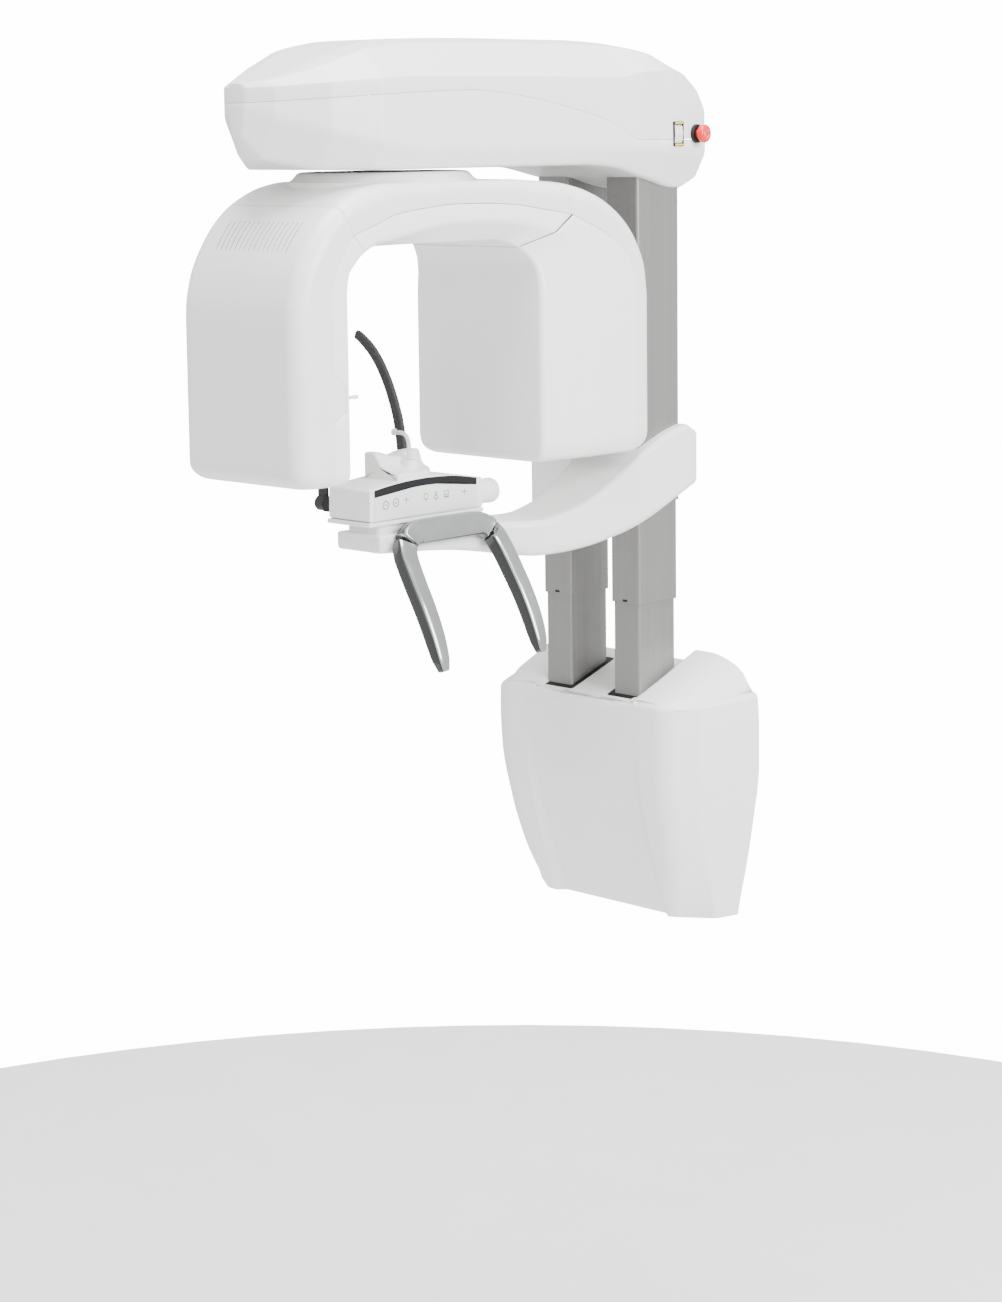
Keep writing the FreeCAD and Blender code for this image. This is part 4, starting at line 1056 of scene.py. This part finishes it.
    def slots(self) -> None:
        """Black ring in the gap round each column where it comes out of the cover: painted shade, since the
        cover is white there.
        """
        patches = []
        for x in (-67.0, 67.0):
            corners = np.array([(x - 33, -123), (x + 33, -123), (x + 33, -27), (x - 33, -27)], float)
            loop = ring(corners, 4.0, 5)
            low = np.column_stack([loop, 185.0 + self.slope * loop[:, 1] - 14.0])
            high = np.column_stack([loop, 185.0 + self.slope * loop[:, 1] + 0.35])
            patches.append(closed_loft(np.stack([low, high]), 0.0, 0.3, 2))
        # The black ring is painted shade down in each gap of the white cover.
        Piece("column_gap_shade", "wall_base", Finish.BLACK, "white_cover", patches).make()

    def build(self) -> None:
        """Make the cover and the painted shade in its column gaps."""
        Piece("base_skin", "wall_base", Finish.COVER, "white_cover", self.shell(), ("base_cover",),
              self.wall).make()
        self.slots()


# ---- the support arm and the chin unit -------------------------------------------------------
@dataclass
class SupportArm:
    """Cast arm that clasps both columns and sweeps out under the chin unit."""

    # distance from the wall, left X, right X, bottom Z, top Z
    sections: Array = held(
        (12, -112, 112, 447, 532), (30, -115, 115, 441, 540), (60, -115, 115, 429, 534),
        (100, -115, 115, 413, 520), (121, -113, 115.5, 406, 512), (131, -100, 116, 403, 507),
        (139, -24, 116, 401, 503), (165, 0, 116, 395, 490), (200, 9, 116, 389, 473),
        (240, 18, 116, 384, 456), (290, 27, 114, 381, 443), (330, 30, 108, 380.5, 437),
        (375, 22, 95, 386, 436), (420, 8, 84, 394, 436), (470, -4, 81, 402, 437), (540, -5, 80, 409, 437.5),
        (612, -5, 80, 414, 438))

    def skin(self) -> Patch:
        """Rounded sections carried out from the wall, with both ends rounded over.

        Returns:
            Vertices and faces.
        """
        deep = np.unique(np.concatenate([np.linspace(12, 612, 110), np.linspace(119, 142, 16)]))
        left, right, low, high = table(self.sections, deep).T
        fall = np.interp(deep, [100, 140, 330, 440], [0.0, 3.0, 6.0, 0.0])
        corners = np.stack([np.stack([left, low], -1), np.stack([right, low], -1),
                            np.stack([right, high - fall], -1), np.stack([left, high], -1)], 1)
        crisp = np.interp(deep, [460.0, 590.0], [1.0, 0.4])[:, None]
        loop = ring(corners, crisp * np.array([14.0, 14.0, 9.0, 9.0]), 7)
        rings = np.stack([loop[..., 0], np.broadcast_to(-deep[:, None], loop.shape[:2]), loop[..., 1]], -1)
        return closed_loft(rings, 8.0, 4.0, 6)

    def build(self) -> None:
        """Make the arm and the neck that carries the control box."""
        Piece("support_casting", "carriage", Finish.CASTING, "arm_casting", [self.skin()],
              ("patient_arm",)).make()
        loop = ring(np.array([(4, -606), (68, -606), (68, -500), (4, -500)], float), 8.0, 6)
        rings = np.stack([np.column_stack([loop, np.full(len(loop), z)]) for z in (437.0, 450.5)])
        Piece("box_neck", "carriage", Finish.CASTING, "arm_casting", [closed_loft(rings)]).make()


@dataclass
class ChinUnit:
    """Control box with its membrane panel, chin rest, bite rod, temple arms and knob."""

    x: tuple[float, float] = (-9.0, 74.0)
    y: tuple[float, float] = (-629.0, -415.0)
    crown: Array = held(
        (-629, 499.5), (-615, 502), (-590, 505.5), (-555, 508.5), (-522, 509.5), (-480, 508), (-440, 502.5),
        (-415, 498))
    keys: dict[str, float] = field(default_factory=lambda: {
        "key_up": -600.0, "key_down": -581.0, "key_centre": -562.0, "key_child": -526.0,
        "key_adult": -507.0, "key_field": -487.0, "key_return": -453.0})

    def top(self, y: Array) -> Array:
        """Height of the box's arched top along its length."""
        return smooth(self.crown[:, 0], self.crown[:, 1], y)

    def outline(self, inset: float, low: float, radius: float = 5.0) -> Array:
        """Side outline of the box: flat bottom, upright ends and the arched top.

        Args:
            inset: how far inside the box's own outline.
            low: height of the bottom.
            radius: radius of the corners.
        Returns:
            The outline in Y and Z.
        """
        y0, y1 = self.y[0] + inset, self.y[1] - inset
        y = np.linspace(y1 - 1, y0 + 1, 24)
        arch = np.column_stack([y, self.top(y) - inset])
        corners = np.concatenate([[(y0, low), (y1, low)], arch])
        radii = np.full(len(corners), 0.5)
        radii[[0, 1, 2, -1]] = radius
        return ring(corners, radii, 5)

    def box(self) -> None:
        """The case above its parting line, and the wider skirt below it."""
        upper = along_x(self.outline(1.0, 456.6, 4.0), [self.x[0] + 5.5, self.x[1] - 1.7])
        (y0, y1), low, high = self.y, 450.0, 456.0
        lower_loop = ring(np.array([(y0, low), (y1, low), (y1, high), (y0, high)]), 1.4, 4)
        lower = along_x(lower_loop, [self.x[0] + 1.5, self.x[1] - 1.5])
        Piece("box_case", "carriage", Finish.COVER, "white_cover",
              [closed_loft(upper, 4.5, 1.2, 6), closed_loft(lower, 1.4, 1.4, 4)], ("control_box",)).make()

    def panel(self) -> None:
        """Printed film with a dark band along its top, keys with plain marks."""
        x = self.x[1]
        y = np.linspace(self.y[1] - 14, self.y[0] + 9, 30)
        y0, y1 = y[-1], y[0]
        low = np.column_stack([[y0 - 1, y1 + 1], [457.5, 459.5]])
        film_top = np.column_stack([y, self.top(y) - 2.3])
        film = ring(np.concatenate([low, film_top]), 1.2, 3)
        Piece("panel_film", "carriage", Finish.FILM, "panel_membrane",
              [closed_loft(along_x(film, [x - 1.0, x + 0.2]), 0.0, 0.5, 3)], ("control_panel",)).make()
        band_top, band_low = np.column_stack([y, self.top(y) - 2.6]), np.column_stack([y, self.top(y) - 12.4])
        band = ring(np.concatenate([band_top, band_low[::-1]]), 1.5, 3)
        Piece("panel_band", "carriage", Finish.BAND, "panel_membrane",
              [closed_loft(along_x(band, [x, x + 0.75]), 0.0, 0.2, 2)]).make()
        for name, place in self.keys.items():
            self.key(name, place)

    def key(self, name: str, place: float) -> None:
        """One key's low dome and its mark.

        Args:
            name: the key's body and node.
            place: where it is along the panel.
        """
        lift = np.interp(place, [-600.0, -562.0, -526.0, -487.0, -453.0], [0.5, 4.2, 5.0, 4.5, 4.2])
        centre = np.array([self.x[1], place, 477.0 + lift])
        dome = [(0.0, -3.0), (6.2, -3.0), (6.2, 0.55), (5.9, 0.85), (3.5, 1.05), (0.0, 1.1)]
        Piece(name + "_dome", name, Finish.FILM, "key_dome", [turned(dome, centre, (1, 0, 0), 32)],
              (name,)).make()
        marks = [closed_loft(self.stroke(line, closed)) for line, closed in self.mark(name)]
        lifted = [(p + centre + [1.0, 0.0, 0.0], f) for p, f in marks]
        Piece(name + "_mark", name, Finish.MARK, "key_dome", lifted).make()

    @staticmethod
    def stroke(line: Array, closed: bool) -> Array:
        """A thin raised line drawn in Y and Z.

        Args:
            line: the line's points.
            closed: whether it ends where it starts.
        Returns:
            Its sections.
        """
        line = np.asarray(line, float)
        path = np.column_stack([np.zeros(len(line)), line])
        way = unit(np.gradient(path, axis=0))
        if closed:
            way[0] = way[-1] = unit(path[1] - path[-2])
        up = np.broadcast_to([1.0, 0.0, 0.0], path.shape)
        wide, thick = np.full(len(path), 0.55), np.full(len(path), 0.25)
        return swept(path, unit(np.cross(up, way)), up, wide, thick, 2.0, 6)

    def mark(self, name: str) -> list[tuple[Array, bool]]:
        """Strokes of a key's plain mark, in Y and Z round the key's middle."""
        a = np.linspace(0.0, 2 * math.pi, 25)
        circle = np.column_stack([np.cos(a), np.sin(a)])
        chevron = np.array([(-2.6, -1.0), (-1.3, 0.2), (0.0, 1.4), (1.3, 0.2), (2.6, -1.0)])
        upright, level = [(0, -4), (0, 0), (0, 4)], [(-4.2, 0), (0, 0), (4.2, 0)]
        cross = [(np.array(line), False) for line in (upright, level)]
        square = np.array([(-3, -2.4), (0, -2.4), (3, -2.4), (3, 0), (3, 2.4), (0, 2.4), (-3, 2.4), (-3, 0),
                           (-3, -2.4)])
        return {
            "key_up": [(circle * 5.2, True), (chevron, False)],
            "key_down": [(circle * 5.2, True), (-chevron, False)],
            "key_centre": cross,
            "key_child": [(circle * [3.6, 4.4], True)],
            "key_adult": [(circle * 2.0 + [0, 2.6], True), (circle * [3.0, 2.6] - [0, 2.6], True)],
            "key_field": [(square * [1.3, 1.7], False), (circle * 1.6 - [0, 1.6], True)],
            "key_return": cross,
        }[name]

    def knob(self) -> None:
        """Turned knob that opens the temple arms, with a shallow waist and a dished end."""
        profile = [(0.0, -1.0), (9.0, -1.0), (9.2, 4.0), (15.8, 4.6), (17.3, 6.4), (17.5, 12.0), (16.8, 20.0),
                   (16.6, 28.0), (17.0, 38.0), (17.5, 46.0), (17.3, 52.5), (16.0, 55.6), (13.4, 57.0),
                   (9.0, 56.6), (0.0, 56.2)]
        Piece("temple_knob_body", "temple_knob", Finish.COVER, "white_cover",
              [turned(profile, (35.0, -415.0, 471.0), (0, 1, 0), 64)], ("temple_knob",)).make()

    def chin(self) -> None:
        """Chin rest: a back wall whose top dips in the middle and a hollow that falls towards the panel.

        The wall's height and the foot's reach along Y are smooth curves, and each section across X scales
        one rounded outline by them. A short socket stands in the hollow for the bite rod.
        """
        y = np.linspace(-569.0, -477.0, 46)
        high = smooth([-572, -562, -550, -535, -511, -490, -472], [541, 541, 538, 534, 538.5, 539, 537], y)
        near = smooth([-572, -540, -520, -495, -472], [70, 72, 70, 52, 24], y)
        low = self.top(y) - 3.0
        reach = (near - 4.0) / 68.0
        shape = np.array([(0.0, 0.0), (1.0, 0.0), (1.0, 0.29), (0.70, 0.36), (0.50, 0.52), (0.35, 0.92),
                          (0.24, 1.0), (0.0, 1.0)])
        corners = np.stack([4.0 + 68.0 * reach[:, None] * shape[:, 0],
                            low[:, None] + (high - low)[:, None] * shape[:, 1]], -1)
        loop = ring(corners, np.array([2.0, 2.0, 3.0, 14.0, 14.0, 6.0, 6.0, 3.0]), 5)
        rings = np.stack([loop[..., 0], np.broadcast_to(y[:, None], loop.shape[:2]), loop[..., 1]], -1)
        cup = [(0.0, 500.0), (13.5, 500.0), (12.0, 514.0), (11.0, 527.0), (10.0, 528.6), (5.4, 528.4),
               (4.0, 525.0), (0.0, 524.0)]
        saddle = [closed_loft(rings, 3.0, 3.0, 5), turned(cup, (40.0, -522.0, 0.0), (0, 0, 1), 40)]
        Piece("chin_saddle", "chin_rest", Finish.COVER, "white_cover", saddle, ("chin_rest",)).make()

    def rod(self) -> None:
        """Clear bite rod that bends over to a small toothed ring."""
        path = through([(40, -522, 508), (40, -522, 530), (39.8, -522, 548), (36, -522, 559),
                        (28, -522, 563.6), (10, -522, 564)], 40)
        way = unit(np.gradient(path, axis=0))
        side = np.broadcast_to([0.0, 1.0, 0.0], path.shape)
        thick = np.full(40, 2.9)
        body = closed_loft(swept(path, side, np.cross(way, side), thick, thick, 2.0, 16))
        rim = [(2.9, -1.4), (4.8, -1.3), (5.0, 0.0), (4.8, 1.3), (2.9, 1.4)]
        Piece("bite_rod_clear", "bite_rod", Finish.ROD, "clear_rod",
              [body, turned(rim, (11.5, -522.0, 564.0), (1, 0, 0), 32)], ("bite_rod",)).make()

    def temples(self) -> None:
        """Two slim black arms that curve up from round knuckles on the cross beam."""
        for side, name in ((-1.0, "temple_arm_front"), (1.0, "temple_arm_rear")):
            foot = -522.0 + side * 75.0
            points = [(-50, 0, 470), (-50, 0, 500), (-51, -1, 530), (-54, -3, 565), (-61, -7, 600),
                      (-73, -11, 634), (-90, -15, 663), (-110, -18, 682), (-126, -18, 690)]
            path = through([(x, foot + side * s, z) for x, s, z in points], 60)[:-2]
            way = unit(np.gradient(path, axis=0))
            across = unit(np.cross(way, [0.0, 1.0, 0.0]))
            half = np.interp(np.linspace(0, 1, len(path)), [0, 0.1, 0.9, 1.0], [8.4, 8.2, 7.4, 6.8])
            rings = swept(path, across, np.cross(way, across), half, half * 0.62, 2.8, 24)
            knuckle = [(4.2, -8.6), (8.2, -8.6), (9.8, -8.0), (10.4, -6.8), (10.4, 6.8), (9.8, 8.0),
                       (8.2, 8.6), (4.2, 8.6), (4.2, -8.6)]
            bow = [closed_loft(rings, 0.0, 3.4, 6), turned(knuckle, (-50.0, foot, 470.0), (1, 0, 0), 40)]
            Piece(name + "_bow", name, Finish.TEMPLE, "temple_black", bow, (name,)).make()

    def build(self) -> None:
        """Make everything on the chin unit."""
        self.box()
        self.panel()
        self.knob()
        self.chin()
        self.rod()
        self.temples()


@dataclass
class GripHandle:
    """U-shaped patient handle: a bar whose two ends turn over into blades that lean out and down."""

    middle: float = -503.0
    # X, distance from the middle, Z, half width, half thickness, how far the width points down
    stations: Array = held(
        (88, 0, 438, 17, 12, 1), (88, 36, 438, 17, 12, 1), (88.5, 56, 437.5, 16.5, 12, 0.97),
        (90, 68, 434.5, 16, 12, 0.85), (93, 78, 428, 15.5, 12, 0.6), (97, 84.5, 419.5, 15, 12, 0.33),
        (102, 88, 410, 14.6, 12, 0.12), (110, 90, 397, 14.2, 12, 0.03), (124, 91.5, 374, 13.8, 11.8, 0),
        (142, 92.5, 344, 13.4, 11.4, 0), (158, 93, 312, 12.6, 10.8, 0), (169, 93, 284, 10.6, 9.4, 0),
        (174, 92.5, 270, 7.5, 6.6, 0))

    def skin(self) -> tuple[Patch, Array]:
        """Squarish sections along the bar and blades; their width turns from down to sideways at the elbows.

        Returns:
            Vertices and faces, and which faces turn towards the lamps and keep the metal's own grey; the rest
            get painted shade.
        """
        half = through(self.stations, 70)
        rows = np.concatenate([(half * [1, -1, 1, 1, 1, 1])[::-1], half[1:]])
        path = np.column_stack([rows[:, 0], self.middle + rows[:, 1], rows[:, 2]])
        way = unit(np.gradient(path, axis=0))
        side = np.sign(rows[:, 1:2] + 1e-6)
        down = np.array([0.35, 0.0, -1.0])
        wide = unit(rows[:, 5:6] * down + (1 - rows[:, 5:6]) * np.array([0.0, 1.0, 0.0]) * side)
        wide = unit(wide - (wide * way).sum(-1, keepdims=True) * way)
        rings = swept(path, wide, np.cross(way, wide), rows[:, 3], rows[:, 4], 4.2, 40)
        points, faces = closed_loft(rings, 4.0, 4.0, 6)
        a, b, c, d = (points[corner] for corner in faces.T)
        normal = unit(np.cross(c - a, d - b))
        centre = points[faces].mean(1)
        nearest = path[np.argmin(np.linalg.norm(centre[:, None] - path[None], axis=-1), axis=1)]
        normal *= np.sign(((centre - nearest) * normal).sum(-1, keepdims=True))
        # Faces turned towards (0.84, 0, 0.54), the lamps' side, count as lit; every other face gets painted
        # shade.
        return (points, faces), normal @ unit(np.array([0.84, 0.0, 0.54])) > 0.55

    def build(self) -> None:
        """Make the handle: its own grey on the lit faces, painted shade on the rest."""
        patch, lit_faces = self.skin()
        Piece("grip_bow", "carriage", Finish.HANDLE, "handle_metal", [patch], ("handle",),
              second=Finish.HANDLE_FRONT, second_faces=lit_faces).make()


# ---- studio ----------------------------------------------------------------------------------
@dataclass
class Studio:
    """Plain pale floor, soft light from above and both sides, and the camera."""

    floor_z: float = -1.05
    floor_radius: float = 2.3
    soft: float = 1.35
    backdrop: float = 15.0
    # name, place, size and power
    lamps: tuple = (("right", (4.4, -0.2, 2.2), 2.6, 400.0), ("front", (-0.6, -4.4, 1.8), 2.6, 30.0),
                    ("top", (0.6, -0.8, 4.4), 2.6, 360.0))
    lens: float = 77.74
    place: tuple = (2.744, -3.1324, 0.969)
    yaw: float = 43.50
    pitch: float = 7.835
    roll: float = -0.603
    shift: tuple = (-0.0240, -0.1049)

    def floor(self) -> None:
        """A plain round floor, not attached to any of the machine's bodies."""
        mesh = bpy.data.meshes.new("floor")
        a = np.linspace(0.0, 2 * math.pi, 96, endpoint=False)
        edge = np.column_stack([self.floor_radius * np.cos(a), -0.4 + self.floor_radius * np.sin(a),
                                np.full(96, self.floor_z)])
        mesh.from_pydata(edge.tolist(), [], [list(range(96))])
        mesh.materials.append(Moulded("floor_pale", (0.93, 0.93, 0.925), roughness=0.8, coat=0.0).make())
        plane = bpy.data.objects.new("floor", mesh)
        bpy.context.scene.collection.objects.link(plane)

    def lights(self) -> None:
        """A bright even world and large soft lights."""
        world = bpy.data.worlds.new("studio")
        bpy.context.scene.world = world
        world.use_nodes = True
        tree = world.node_tree
        back, seen = tree.nodes["Background"], tree.nodes.new("ShaderNodeBackground")
        for node, strength in ((back, self.soft), (seen, self.backdrop)):
            node.inputs["Color"].default_value = (1.0, 1.0, 1.0, 1.0)
            node.inputs["Strength"].default_value = strength
        path, mix = tree.nodes.new("ShaderNodeLightPath"), tree.nodes.new("ShaderNodeMixShader")
        tree.links.new(path.outputs["Is Camera Ray"], mix.inputs["Fac"])
        tree.links.new(back.outputs["Background"], mix.inputs[1])
        tree.links.new(seen.outputs["Background"], mix.inputs[2])
        tree.links.new(mix.outputs["Shader"], tree.nodes["World Output"].inputs["Surface"])
        for name, place, size, power in self.lamps:
            lamp = bpy.data.lights.new(name, "AREA")
            lamp.energy, lamp.size = power, size
            spot = bpy.data.objects.new(name, lamp)
            spot.location = place
            aim = Vector((0.0, -0.4, 0.5)) - Vector(place)
            spot.rotation_euler = aim.to_track_quat("-Z", "Y").to_euler()
            bpy.context.scene.collection.objects.link(spot)

    def camera(self) -> None:
        """A camera at standing height, well to the machine's right."""
        a, e, r = (math.radians(v) for v in (self.yaw, self.pitch, self.roll))
        back = Vector((math.sin(a) * math.cos(e), -math.cos(a) * math.cos(e), math.sin(e)))
        right = Vector((math.cos(a), math.sin(a), 0.0))
        up = back.cross(right)
        x, y = math.cos(r) * right + math.sin(r) * up, -math.sin(r) * right + math.cos(r) * up
        data = bpy.data.cameras.new("camera")
        data.lens, data.sensor_width, data.clip_end = self.lens, 36.0, 100.0
        data.shift_x, data.shift_y = self.shift
        eye = bpy.data.objects.new("camera", data)
        eye.matrix_world = Matrix.Translation(Vector(self.place)) @ Matrix((x, y, back)).transposed().to_4x4()
        bpy.context.scene.collection.objects.link(eye)
        bpy.context.scene.camera = eye

    def build(self) -> None:
        """Make the floor, the lights and the camera."""
        self.floor()
        self.lights()
        self.camera()


def dress_nodes() -> None:
    """Give every node of the frame the finish of its material slot."""
    slots = {part["node"]: part["material_slot"] for part in frame["record"]["subparts"]}
    for name, node in frame["nodes"].items():
        material = NODE_FINISH[slots[name]].material()
        for place in node.material_slots:
            place.material = material
        if not node.material_slots:
            node.data.materials.append(material)
    LOG.info("dressed %d nodes", len(frame["nodes"]))


def main() -> None:
    """Build the machine from the wall out, dress it and light it."""
    logging.basicConfig(level=logging.INFO, format="%(message)s")
    Studio().build()
    dress_nodes()
    WallBase().build()
    SupportArm().build()
    ChinUnit().build()
    GripHandle().build()
    Boom().build()
    TurningArm().build()


if __name__ == "__main__":
    main()
